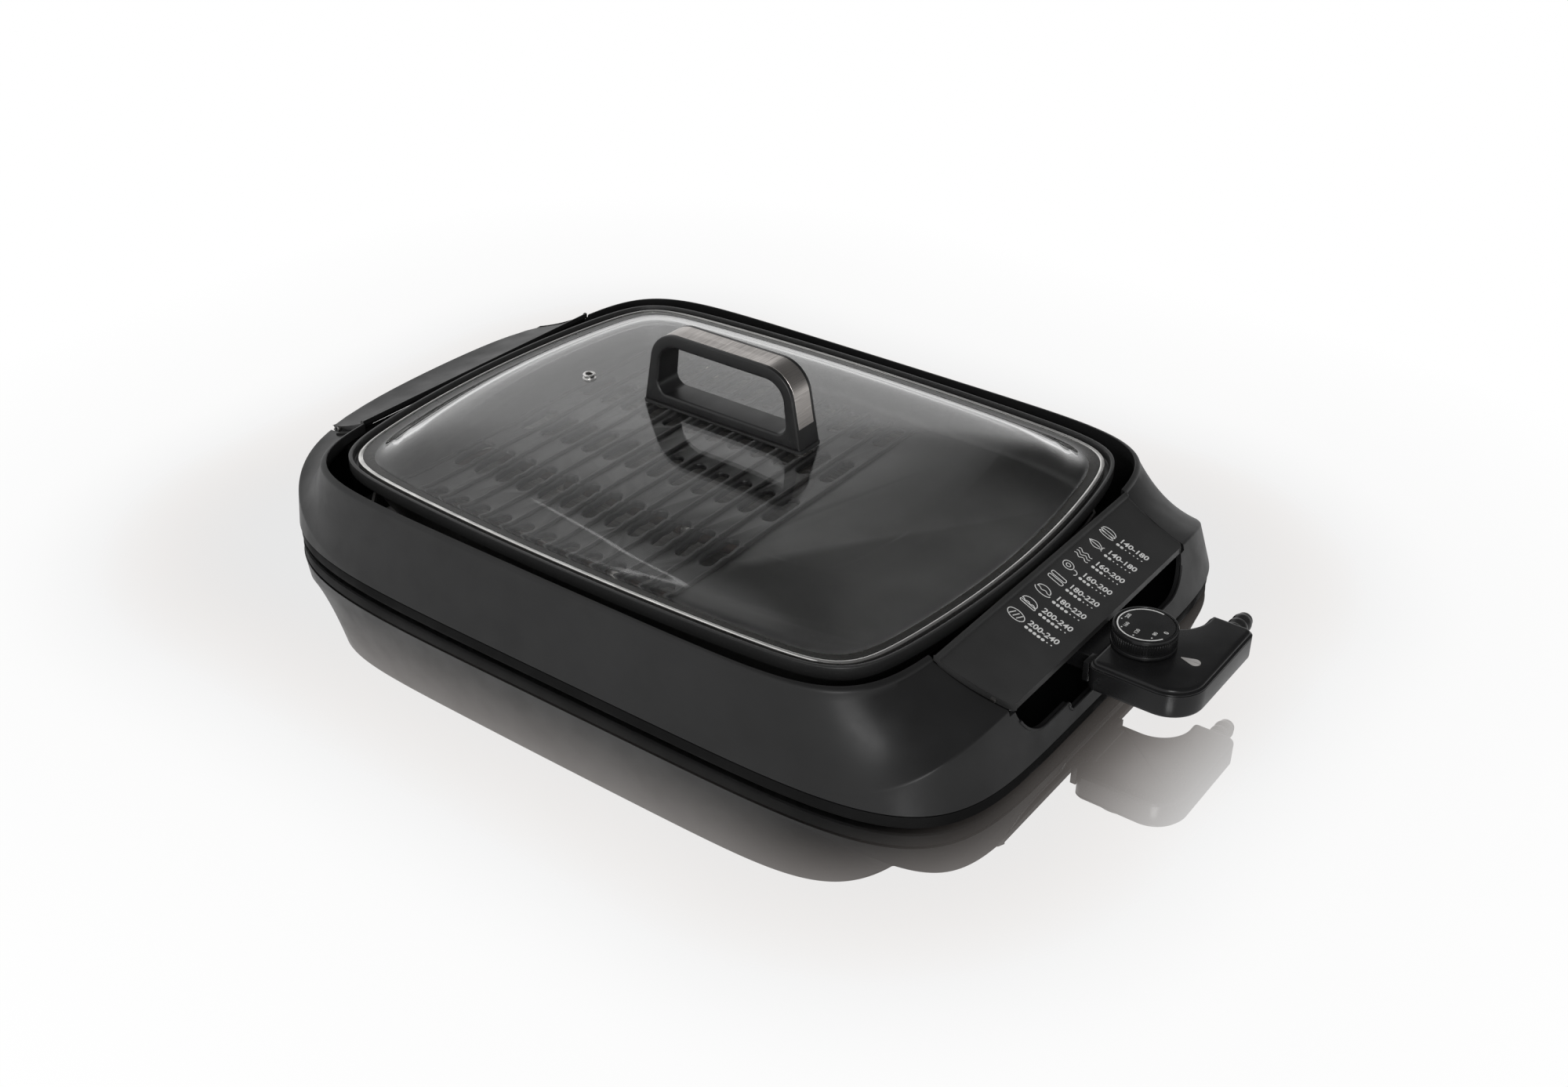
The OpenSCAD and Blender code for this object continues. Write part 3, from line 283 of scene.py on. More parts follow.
def in_mm(group):
    """The group's values by name, with its lengths in millimetres."""
    values = {}
    for name, prop in group.bl_rna.properties.items():
        if name in ("rna_type", "name"):
            continue
        value = getattr(group, name)
        values[name] = value / MM if prop.unit == "LENGTH" and not prop.is_array else value
    return SimpleNamespace(**values)


def sizes(context):
    """Housing, plate, lid and thermostat sizes in millimetres, in one name space."""
    scene = context.scene
    found = {}
    for group in ("grill_housing", "grill_plate", "grill_lid", "grill_thermostat", "grill_guide"):
        found.update(vars(in_mm(getattr(scene, group))))
    s = SimpleNamespace(**found)
    s.half_length = s.body_length / 2
    s.half_depth = s.body_depth / 2
    s.end_height = s.crease_low + s.crease_rise
    s.cover_end = s.half_length - s.end_lean * (s.end_height - s.base_height)
    s.cover_start = s.mouth_length / 2
    s.flange = s.band_low + BAND_HEIGHT - FLANGE_DROP
    s.glass_top = s.flange + s.glass_rise
    s.seat_top = s.glass_top + SEAT_RISE
    s.pod_start = s.half_length + POD_GAP
    s.pod_end = s.half_length + s.pod_reach
    s.dial_x = s.half_length + DIAL_REACH
    s.boot_x = s.half_length + BOOT_REACH
    s.boot_z = BOOT_HEIGHT
    s.plug_z = PLUG_HEIGHT
    return s


# Loops and surfaces


def outline(size_x, size_y, power, bow, angle):
    """A superellipse seen at each angle, its sides drawn in towards the corners.

    The radius is (|cos / half x|^power + |sin / half y|^power)^(-1 / power). Then x loses the
    share bow x times (y / half y) squared, and y the share bow y times (x / half x) squared.
    """
    half_x, half_y = size_x / 2, size_y / 2
    cos, sin = np.cos(angle), np.sin(angle)
    radius = (np.abs(cos / half_x) ** power + np.abs(sin / half_y) ** power) ** (-1 / power)
    x, y = radius * cos, radius * sin
    return np.stack([x * (1 - bow[0] * (y / half_y) ** 2), y * (1 - bow[1] * (x / half_x) ** 2)], -1)


def even_angles(count, loop_at):
    """Angles at which a loop's points lie evenly along its length; loop_at gives it at angles."""
    fine = np.linspace(0, TAU, 9001)
    steps = np.linalg.norm(np.diff(loop_at(fine), axis=0), axis=1)
    run = np.concatenate([[0], np.cumsum(steps)])
    return np.interp(np.linspace(0, run[-1], count, endpoint=False), run, fine)


def lift(loop, height):
    """A plan loop at a height: one number, or one for each point."""
    return np.concatenate([loop, np.broadcast_to(height, (len(loop),))[:, None]], axis=1)


def circle(radius, count=64, centre=(0.0, 0.0)):
    """A round plan loop."""
    angle = np.linspace(0, TAU, count, endpoint=False)
    return np.stack([centre[0] + radius * np.cos(angle), centre[1] + radius * np.sin(angle)], -1)


def rounded_loop(corners, radii, steps=CORNER_STEPS):
    """A closed outline whose corners are arcs that touch both sides.

    With the half angle of a corner h, the arc starts radius / tan h along each side, and its
    centre lies radius / sin h from the corner on the line that halves it.
    """
    corners = np.array(corners, float)
    radii = np.broadcast_to(np.array(radii, float), (len(corners),))
    before = np.roll(corners, 1, 0) - corners
    after = np.roll(corners, -1, 0) - corners
    before /= np.linalg.norm(before, axis=1)[:, None]
    after /= np.linalg.norm(after, axis=1)[:, None]
    half = np.arccos(np.clip((before * after).sum(1), -1, 1)) / 2
    middle = (before + after) / np.linalg.norm(before + after, axis=1)[:, None]
    centre = corners + middle * (radii / np.sin(half))[:, None]
    reach = (radii / np.tan(half))[:, None]
    first = corners + before * reach - centre
    last = corners + after * reach - centre
    start = np.arctan2(first[:, 1], first[:, 0])
    turn = (np.arctan2(last[:, 1], last[:, 0]) - start + np.pi) % TAU - np.pi
    angle = start[:, None] + turn[:, None] * np.linspace(0, 1, steps)
    spokes = np.stack([np.cos(angle), np.sin(angle)], -1) * radii[:, None, None]
    return (centre[:, None] + spokes).reshape(-1, 2)


def rectangle(x0, x1, y0, y1, radius, steps=CORNER_STEPS):
    """A plan rectangle with round corners, counter-clockwise."""
    return rounded_loop([(x0, y0), (x1, y0), (x1, y1), (x0, y1)], radius, steps)


def inset_loop(loop, amount):
    """A counter-clockwise loop moved inwards along its own normals."""
    along = np.roll(loop, -1, 0) - np.roll(loop, 1, 0)
    along /= np.linalg.norm(along, axis=1)[:, None]
    return loop + amount * np.stack([-along[:, 1], along[:, 0]], -1)


def hermite(knots, values, at):
    """A smooth line through the knots: cubic pieces whose slopes are the mean of their neighbours'."""
    knots, values, at = (np.asarray(a, float) for a in (knots, values, at))
    slopes = np.gradient(values, knots)
    i = np.clip(np.searchsorted(knots, at, side="right") - 1, 0, len(knots) - 2)
    gap = knots[i + 1] - knots[i]
    t = (at - knots[i]) / gap
    return (
        (2 * t**3 - 3 * t**2 + 1) * values[i]
        + (t**3 - 2 * t**2 + t) * gap * slopes[i]
        + (3 * t**2 - 2 * t**3) * values[i + 1]
        + (t**3 - t**2) * gap * slopes[i + 1]
    )


def quadratic(points, t):
    """A curve from the first of three points to the last, pulled towards the middle one."""
    return (1 - t) ** 2 * points[0] + 2 * t * (1 - t) * points[1] + t * t * points[2]


def smooth_step(t):
    """0 below 0, 1 above 1, and 3 t^2 - 2 t^3 between."""
    t = np.clip(t, 0, 1)
    return t * t * (3 - 2 * t)


def grid_faces(rows, columns, wrap_rows, wrap_columns=True):
    """Four-sided faces between neighbouring rows and columns of a grid of points."""
    r, c = np.meshgrid(
        np.arange(rows if wrap_rows else rows - 1),
        np.arange(columns if wrap_columns else columns - 1),
        indexing="ij",
    )
    r1, c1 = (r + 1) % rows, (c + 1) % columns
    corners = [r * columns + c, r * columns + c1, r1 * columns + c1, r1 * columns + c]
    return np.stack(corners, -1).reshape(-1, 4).tolist()


def closed_ring(rings):
    """A solid like a bent tube: the last ring joins the first."""
    rings = np.asarray(rings, float)
    rows, columns = rings.shape[:2]
    return rings.reshape(-1, 3), grid_faces(rows, columns, True)


def stack(rings):
    """A solid between a first and a last flat face, which close the rings between them."""
    rings = np.asarray(rings, float)
    rows, columns = rings.shape[:2]
    faces = grid_faces(rows, columns, False)
    faces += [list(range(columns)), list(range((rows - 1) * columns, rows * columns))]
    return rings.reshape(-1, 3), faces


def edge_levels(low, high, edge_low, edge_high, steps=5):
    """Inset and height of each level of a side whose lower and upper edges are quarter rounds."""
    a = np.linspace(0, np.pi / 2, steps)
    insets = np.concatenate([edge_low * (1 - np.sin(a)), edge_high * (1 - np.cos(a))])
    heights = np.concatenate([low + edge_low * (1 - np.cos(a)), high - edge_high * (1 - np.sin(a))])
    return insets, heights


def drawn_in(loop, levels):
    """Rings of a plan loop at levels, each an inset and a height."""
    return [lift(inset_loop(loop, inset), z) for inset, z in levels]


def prism(loop, low, high, edge_low=0.4, edge_high=0.4, steps=5):
    """A plan loop raised from low to high, with rounded edges."""
    return stack(drawn_in(loop, zip(*edge_levels(low, high, edge_low, edge_high, steps))))


def cup(loop, low, high, wall, floor, edge=0.4, inner=None):
    """An open-topped shell: up outside, over the rim and down to its inner floor."""
    inner = inset_loop(loop, wall) if inner is None else inner
    rim = min(0.35, wall / 3)
    rings = drawn_in(loop, zip(*edge_levels(low, high, edge, rim, 5)))
    rings += [lift(inset_loop(inner, -rim), high), lift(inner, high - rim), lift(inner, floor)]
    return stack(rings)


def revolve(profile, count=96, axis="z", centre=(0.0, 0.0, 0.0), closed=False):
    """A profile of radius and height turned about an axis through the centre."""
    profile = np.array(profile, float)
    angle = np.linspace(0, TAU, count, endpoint=False)
    radius, height = profile[:, :1], np.repeat(profile[:, 1:], count, 1)
    rings = np.stack([radius * np.cos(angle), radius * np.sin(angle), height], -1)
    points, faces = closed_ring(rings) if closed else stack(rings)
    return turned(points, axis) + np.array(centre), faces


def turned(points, axis):
    """Points whose Z becomes the named axis."""
    order = {"z": [0, 1, 2], "y": [0, 2, 1], "x": [2, 0, 1]}[axis]
    return points[:, order]


def sweep(path, section, closed=False, up=(0.0, 0.0, 1.0)):
    """A plan section carried along a path: its x lies beside the path and its y along up."""
    path = np.array(path, float)
    along = np.gradient(path, axis=0)
    if closed:
        along = np.roll(path, -1, 0) - np.roll(path, 1, 0)
    along /= np.linalg.norm(along, axis=1)[:, None]
    side = np.cross(along, np.array(up))
    side /= np.linalg.norm(side, axis=1)[:, None]
    above = np.cross(side, along)
    section = np.array(section, float)
    rings = (
        path[:, None]
        + side[:, None] * section[None, :, :1]
        + above[:, None] * section[None, :, 1:]
    )
    return closed_ring(rings) if closed else stack(rings)


def moved(solid, x=0.0, y=0.0, z=0.0):
    """The solid shifted."""
    return solid[0] + np.array([x, y, z]), solid[1]


def mirrored(solid, axis):
    """The solid mirrored in the middle plane across an axis; its faces are turned out later."""
    signs = np.ones(3)
    signs[axis] = -1
    return solid[0] * signs, solid[1]


def joined(solids):
    """Several solids as one list of points and faces."""
    starts = np.cumsum([0] + [len(points) for points, _ in solids])
    points = np.concatenate([points for points, _ in solids])
    faces = [[i + int(start) for i in face] for start, (_, f) in zip(starts, solids) for face in f]
    return points, faces


# Each piece: its body, its finish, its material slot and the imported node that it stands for

PIECES = {
    "housing_shell": ("housing", "housing", "housing_plastic", "outer_housing"),
    "port_lip": ("housing", "housing", "housing_plastic", None),
    "cover_ledges": ("housing", "base", "housing_plastic", None),
    "guide_panel_cover": ("housing", "guide", "housing_plastic", "guide_panel"),
    "left_cover": ("housing", "housing", "housing_plastic", "left_end_cover"),
    "guide_print": ("housing", "ink", None, None),
    "base_tub": ("housing", "base", "base_plastic", "base_pan"),
    "coated_plate": ("plate", "coating", "nonstick", "grill_plate"),
    "plate_ridges": ("plate", "coating", "nonstick", None),
    "tray_pan": ("tray", "sheet", "liner_steel", "drip_tray"),
    "tray_grip": ("tray", "base", "base_plastic", "tray_handle"),
    "glass_dome": ("lid", "glass", "lid_glass", "lid_glass"),
    "rim_band": ("lid", "band", "band_steel", "lid_band"),
    "vent_eyelet": ("lid", "band", "band_steel", "vent_grommet"),
    "handle_arch": ("lid", "handle", "handle_plastic", "handle_body"),
    "handle_trim": ("lid", "strip", "strip_steel", "handle_strip"),
    "handle_gasket": ("lid", "rubber", "seat_rubber", "handle_seat"),
    "pod_lower_case": ("thermostat", "pod", "pod_plastic", "pod_lower_shell"),
    "pod_upper_case": ("thermostat", "pod", "pod_plastic", "pod_upper_shell"),
    "pilot_window": ("thermostat", "lens", "lens_plastic", "pilot_lens"),
    "plug_body": ("thermostat", "pod", "pod_plastic", "plug_neck"),
    "plug_guards": ("thermostat", "pod", "pod_plastic", None),
    "ribbed_boot": ("thermostat", "boot", "boot_rubber", "cord_boot"),
    "dial_grip": ("dial", "pod", "pod_plastic", "dial_knob"),
    "dial_face": ("dial", "pod", "pod_plastic", "dial_disc"),
    "dial_marks": ("dial", "ink", None, None),
}
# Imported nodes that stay, by their finish
KEPT_NODES = {
    "rubber": ["rubber_feet"],
    "screw": [
        "base_screws", "cover_screws", "heater_clips", "terminal_pins", "terminal_screws", "handle_screws",
        "handle_washers", "sensing_rod", "pod_screws", "dial_spindle",
    ],
    "sheet": ["liner", "tray_rails", "grease_guides", "heater_bars"],
    "ceramic": ["plate_rests", "terminal_block", "thermostat_switch"],
    "heater": ["heater_tube"],
    "brass": ["plug_contacts"],
}
FINISHES = {}


def mesh_of(name, solid):
    """A mesh in metres in the row frame, with its doubles merged and its faces turned outwards."""
    points, faces = solid
    mesh = bpy.data.meshes.new(name)
    mesh.from_pydata(((points + np.array([SHIFT, 0, 0])) * MM).tolist(), [], faces)
    work = bmesh.new()
    work.from_mesh(mesh)
    bmesh.ops.remove_doubles(work, verts=work.verts, dist=1e-7)
    bmesh.ops.recalc_face_normals(work, faces=work.faces)
    work.to_mesh(mesh)
    work.free()
    return mesh


def smooth(mesh, angle=SHARP_ANGLE):
    """Smooth shading, sharp where two faces meet at more than the angle."""
    mesh.shade_smooth()
    mesh.set_sharp_from_angle(angle=angle)


def dress(mesh, finish):
    """Gives the mesh the finish of that name and no other."""
    mesh.materials.clear()
    mesh.materials.append(FINISHES[finish])


def make_piece(name, solids, cutters=(), angle=SHARP_ANGLE):
    """A finished piece: its solids less its cutters, as PIECES says."""
    body, finish, slot, node = PIECES[name]
    piece = bpy.data.objects.new(name, mesh_of(name, joined(solids)))
    bpy.context.scene.collection.objects.link(piece)
    for cutter in cutters:
        carve(piece, cutter)
    smooth(piece.data, angle)
    dress(piece.data, finish)
    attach(piece, body)
    if node:
        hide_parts(node)
    return piece


def carve(piece, solid):
    """Takes the cutter out of the piece and keeps the result as its plain mesh."""
    cutter = bpy.data.objects.new("cutter", mesh_of("cutter", solid))
    bpy.context.scene.collection.objects.link(cutter)
    step = piece.modifiers.new("carve", "BOOLEAN")
    step.operation = "DIFFERENCE"
    step.solver = "MANIFOLD"
    step.object = cutter
    depsgraph = bpy.context.evaluated_depsgraph_get()
    result = bpy.data.meshes.new_from_object(piece.evaluated_get(depsgraph))
    piece.modifiers.clear()
    if len(result.polygons) <= 6:
        raise RuntimeError(piece.name + " has nothing left after its cut")
    old, spent = piece.data, cutter.data
    piece.data = result
    bpy.data.objects.remove(cutter)
    for mesh in (old, spent):
        bpy.data.meshes.remove(mesh)
    result.name = piece.name


# Finishes


def feed(tree, socket, value):
    """Links another socket to this one, or sets it to a constant."""
    if isinstance(value, bpy.types.NodeSocket):
        tree.links.new(value, socket)
    else:
        socket.default_value = value


def add_node(tree, kind, *inputs, operation=None, **named):
    """A node with its inputs set or linked, in order or by name."""
    made = tree.nodes.new(kind)
    if operation:
        made.operation = operation
    for socket, value in zip(made.inputs, inputs):
        feed(tree, socket, value)
    for key, value in named.items():
        feed(tree, made.inputs[key.replace("_", " ")], value)
    return made


def blend(tree, factor, first, second, coloured=False):
    """Runs from the first number or colour to the second as the factor goes from 0 to 1."""
    made = tree.nodes.new("ShaderNodeMix")
    made.data_type = "RGBA" if coloured else "FLOAT"
    for place, value in zip((0, 6, 7) if coloured else (0, 2, 3), (factor, first, second)):
        feed(tree, made.inputs[place], value)
    return made.outputs[2 if coloured else 0]


class Finish:
    """A Principled material whose colour, roughness and relief come from patterns on the piece."""

    def __init__(self, name, base, roughness, metallic=0.0, **constants):
        self.material = bpy.data.materials.new(name)
        self.material.use_nodes = True
        self.tree = self.material.node_tree
        self.nodes, self.links = self.tree.nodes, self.tree.links
        self.shader = self.nodes["Principled BSDF"]
        self.set("Base Color", (*base, 1.0))
        self.set("Roughness", roughness)
        self.set("Metallic", metallic)
        for key, value in constants.items():
            self.set(key.replace("_", " "), value)
        self.base = np.array(base)
        self.space = self.nodes.new("ShaderNodeTexCoord").outputs["Object"]

    def set(self, key, value):
        """Sets one input of the shader."""
        self.shader.inputs[key].default_value = value

    def node(self, kind, *inputs, **named):
        """A node with its inputs set or linked."""
        return add_node(self.tree, kind, *inputs, **named)

    def show(self, shader):
        """Puts this shader on the surface."""
        self.links.new(shader.outputs[0], self.nodes["Material Output"].inputs["Surface"])

    def noise(self, scale, detail=2.0, stretch=(1.0, 1.0, 1.0)):
        """Cloudy values from 0 to 1; scale counts features to a metre."""
        where = self.node("ShaderNodeMapping", Vector=self.space, Scale=stretch).outputs["Vector"]
        return self.node("ShaderNodeTexNoise", Vector=where, Scale=scale, Detail=detail).outputs["Fac"]

    def cells(self, scale):
        """Distance to the nearest of scattered points."""
        return self.node("ShaderNodeTexVoronoi", Vector=self.space, Scale=scale).outputs["Distance"]

    def spread(self, value, low, high, start=0.3, end=0.7):
        """The value's stretch from start to end, spread from low to high."""
        return self.node("ShaderNodeMapRange", value, start, end, low, high).outputs["Result"]

    def vary_colour(self, value, other, low=0.0, high=1.0):
        """Mixes the base colour towards another one."""
        mixed = blend(self.tree, self.spread(value, low, high), (*self.base, 1.0), (*other, 1.0), True)
        self.links.new(mixed, self.shader.inputs["Base Color"])

    def vary_roughness(self, value, low, high):
        """Spreads the roughness between two values."""
        self.links.new(self.spread(value, low, high), self.shader.inputs["Roughness"])

    def relief(self, value, depth, strength=1.0):
        """Raises the surface by the value, depth in metres."""
        made = self.node("ShaderNodeBump", Height=value, Distance=depth, Strength=strength)
        self.links.new(made.outputs["Normal"], self.shader.inputs["Normal"])


def moulded(name, base, rough, grain=0.00004, shine=0.5):
    """Moulded plastic: a fine spark-eroded grain, and cloudy changes of gloss and tone."""
    f = Finish(name, base, rough, Specular_IOR_Level=shine)
    cloud = f.noise(22.0, 3.0)
    f.vary_colour(cloud, f.base * 1.35 + 0.002, 0.0, 0.8)
    f.vary_roughness(f.noise(60.0, 4.0), rough - 0.05, rough + 0.06)
    f.relief(f.noise(2600.0, 2.0), grain, 0.5)
    return f.material


def soft_rubber(name, base, rough):
    """Rubber: matt, with a slight bloom."""
    f = Finish(name, base, rough, Specular_IOR_Level=0.4)
    f.vary_colour(f.noise(90.0, 3.0), f.base * 2.0 + 0.004, 0.0, 0.7)
    f.vary_roughness(f.noise(140.0, 3.0), rough - 0.06, rough + 0.08)
    f.relief(f.noise(1500.0, 3.0), 0.00004, 0.4)
    return f.material


def brushed(name, base, rough, stretch, scale=180.0, depth=0.00001):
    """Brushed metal: long fine scratches across the stretched direction."""
    f = Finish(name, base, rough, 1.0, Anisotropic=0.4)
    lines = f.noise(scale, 6.0, stretch)
    f.vary_colour(lines, f.base * 0.72, 0.0, 1.0)
    f.vary_roughness(lines, rough - 0.07, rough + 0.10)
    f.relief(lines, depth, 0.6)
    return f.material


def coated(name, base, rough):
    """Non-stick coating: fine orange peel with scattered lighter specks."""
    f = Finish(name, base, rough, Specular_IOR_Level=0.5)
    specks = f.cells(900.0)
    f.vary_colour(f.spread(specks, 1.0, 0.0, 0.05, 0.22), f.base * 2.6 + 0.01, 0.0, 1.0)
    f.vary_roughness(f.noise(35.0, 4.0), rough - 0.05, rough + 0.07)
    f.relief(f.noise(1400.0, 3.0), 0.00005, 0.5)
    return f.material


def clear_glass(name, base):
    """Tempered glass that lets the lamps through, with faint smears on its skin."""
    f = Finish(name, base, 0.0, 0.0, Transmission_Weight=1.0, IOR=1.46)
    f.vary_roughness(f.noise(14.0, 3.0, (1.0, 3.0, 1.0)), 0.006, 0.02)
    shadow = f.node("ShaderNodeLightPath").outputs["Is Shadow Ray"]
    clear = f.node("ShaderNodeBsdfTransparent", Color=(0.84, 0.84, 0.84, 1.0))
    f.show(f.node("ShaderNodeMixShader", shadow, f.shader.outputs[0], clear.outputs[0]))
    return f.material


def glazed(name, base):
    """Ceramic: pale and fine-grained, with brown specks."""
    f = Finish(name, base, 0.5)
    f.vary_colour(f.cells(420.0), (0.45, 0.38, 0.28), 0.5, 0.0)
    f.vary_roughness(f.noise(200.0, 3.0), 0.42, 0.6)
    f.relief(f.noise(900.0, 3.0), 0.00005, 0.4)
    return f.material


def oxidised(name):
    """Heater sheath: near black with brown and blue heat colours."""
    f = Finish(name, (0.05, 0.045, 0.042), 0.5, 0.7)
    f.vary_colour(f.noise(45.0, 4.0), (0.11, 0.075, 0.06), 0.0, 1.0)
    f.vary_roughness(f.noise(160.0, 3.0), 0.4, 0.62)
    f.relief(f.noise(1100.0, 3.0), 0.00004, 0.5)
    return f.material


def printed(name, base):
    """Screen-printed ink: matt, with a little wear at fine scale."""
    f = Finish(name, base, 0.55)
    f.vary_colour(f.noise(900.0, 3.0), f.base * 0.72, 0.0, 1.0)
    f.vary_roughness(f.noise(500.0, 2.0), 0.5, 0.65)
    f.relief(f.noise(2500.0, 2.0), 0.00001, 0.3)
    return f.material


def make_finishes(c):
    """Every finish by name, from the base colours."""
    return {
        "housing": moulded("satin_black_moulding", c.housing, 0.40, shine=0.32),
        "guide": moulded("guide_moulding", c.guide, 0.40, shine=0.32),
        "pod": moulded("thermostat_moulding", c.pod, 0.24, 0.00002, 0.27),
        "handle": moulded("handle_moulding", c.pod, 0.38, 0.00003, 0.5),
        "base": moulded("matt_base_moulding", c.base, 0.62, 0.00005, 0.12),
        "boot": soft_rubber("boot_rubber", c.boot, 0.28),
        "rubber": soft_rubber("foot_rubber", c.rubber, 0.7),
        "coating": coated("dark_coating", c.coating, 0.36),
        "glass": clear_glass("lid_glass", c.glass),
        "band": brushed("polished_rim_steel", c.rim_steel, 0.30, (1.0, 1.0, 12.0), 90.0, 0.000003),
        "strip": brushed("brushed_strip_steel", c.strip, 0.33, (30.0, 1.0, 30.0), 60.0),
        "sheet": brushed("aluminised_sheet", c.sheet, 0.42, (1.0, 14.0, 14.0), 60.0),
        "screw": brushed("plated_screw_steel", c.steel, 0.32, (1.0, 1.0, 1.0), 900.0),
        "ceramic": glazed("terminal_ceramic", c.ceramic),
        "heater": oxidised("heater_sheath"),
        "brass": brushed("contact_brass", c.brass, 0.34, (1.0, 6.0, 6.0), 300.0),
        "ink": printed("pale_print", c.ink),
        "lens": moulded("pilot_lens_plastic", c.lens, 0.22, 0.00001, 0.5),
    }


# Housing


def side_power(s, angle):
    """The outline's power: the left corners are rounder than the right ones."""
    return np.where(np.cos(angle) < 0, s.left_power, s.right_power)


def endness(s, angle):
    """1 where a direction meets an end wall and 0 where it meets a long wall."""
    x = wall_ring(s, angle, s.base_height, 0.0)[:, 0]
    return (np.abs(x) / np.where(x < 0, s.cover_end, s.half_length)) ** side_power(s, angle)


def crease(s, angle):
    """Height of the crease between wall and wing."""
    return np.maximum(s.base_height + LEAST_WALL, s.crease_low + s.crease_rise * endness(s, angle))


def wall_ring(s, angle, z, inset):
    """The wall at a height, drawn in: it leans, apart from the left end, which is upright."""
    z = np.broadcast_to(z, angle.shape)
    right = s.body_length - 2 * s.end_lean * (z - s.base_height)
    size_x = np.where(np.cos(angle) < 0, 2 * s.cover_end, right) - 2 * inset
    size_y = s.body_depth - 2 * s.side_lean * (z - s.base_height) - 2 * inset
    return lift(outline(size_x, size_y, side_power(s, angle), NO_BOW, angle), z)


def left_limit(s, y):
    """How far the left end reaches at a depth."""
    aside = np.clip(np.abs(y) / s.half_depth, 0, 1)
    return s.cover_end * (1 - aside**s.left_power) ** (1 / s.left_power)


def kept_left(s, solid):
    """The mirrored solid, kept inside the round left end."""
    points, faces = mirrored(solid, 0)
    points[:, 0] = np.maximum(points[:, 0], -left_limit(s, points[:, 1]))
    return points, faces


def rim_ring(s, angle, z, grow):
    """The rim's inner outline at a height, grown outwards."""
    loop = outline(s.mouth_length + 2 * grow, s.mouth_depth + 2 * grow, RIM_POWER, RIM_BOW, angle)
    return lift(loop, z)


def flare_ring(s, angle, t, drop):
    """The wing between the crease, t = 0, and the rim, t = 1: a quadratic curve that sags."""
    c = crease(s, angle)
    e = endness(s, angle)
    start = wall_ring(s, angle, np.maximum(s.base_height + LEAST_INNER_WALL, c - drop), drop)
    end = rim_ring(s, angle, s.rim_height - s.rim_radius - drop, s.rim_radius - drop)
    bend = (start + end) / 2
    bend[:, 2] -= SAG + CORNER_SAG * e * (1 - e)
    return quadratic((start, bend, end), t)


def cover_line(s, t):
    """Side view of an end cover's top, from its outer edge, t = 0, to the rim, t = 1."""
    outer = np.array([s.cover_end, s.end_height])
    inner = np.array([s.cover_start + s.rim_radius, s.rim_height - s.rim_radius])
    bend = (outer + inner) / 2 - np.array([0, SAG])
    return quadratic((outer, bend, inner), np.asarray(t)[:, None])


def cover_top(s, count=28):
    """Points of that top, from the outer edge over the rounded rim to its inner edge."""
    line = cover_line(s, np.linspace(0, 1, count))
    a = np.linspace(0, np.pi / 2, 7)[1:]
    round_x = s.cover_start + 0.4 + (s.rim_radius - 0.4) * np.cos(a)
    round_z = s.rim_height - s.rim_radius + s.rim_radius * np.sin(a)
    return np.concatenate([line, np.stack([round_x, round_z], -1)])


def box(x0, x1, y0, y1, z0, z1, edge=0.3):
    """A block with slightly rounded edges."""
    return prism(rectangle(x0, x1, y0, y1, max(edge, 0.05), 4), z0, z1, edge, edge, 3)


def port_loop(s):
    """The thermostat opening seen from the end: rounded below and deeper in the middle."""
    left, right = -s.dial_offset - 40, -s.dial_offset + 40
    corners = [
        (-s.port_half, s.rim_height + 10), (-s.port_half, s.port_low), (left, s.port_low),
        (left, s.notch_low), (right, s.notch_low), (right, s.port_low),
        (s.port_half, s.port_low), (s.port_half, s.rim_height + 10),
    ]
    return rounded_loop(corners, [1, s.port_radius, 2, 2, 2, 2, s.port_radius, 1], 14)


def port_cutter(s):
    """The space of the thermostat opening."""
    loop = port_loop(s)
    points, faces = stack([lift(loop, s.cover_start + 8), lift(loop, s.half_length + 6)])
    return turned(points, "x"), faces


def cover_cutter(s):
    """The place of an end cover and its seam, cut down to the ledges below it."""
    inner = s.cover_inner + s.cover_seam
    outer = s.cover_outer - 1 + s.cover_seam
    xs = [s.cover_start - 8, s.cover_start - 1, s.half_length + 8]
    loop = np.array([
        (xs[0], -inner), (xs[1], -inner), (xs[2], -outer), (xs[2], outer), (xs[1], inner), (xs[0], inner),
    ])
    low = s.end_height - s.cover_thickness - 1.5
    return stack([lift(loop, low), lift(loop, s.rim_height + 8)])


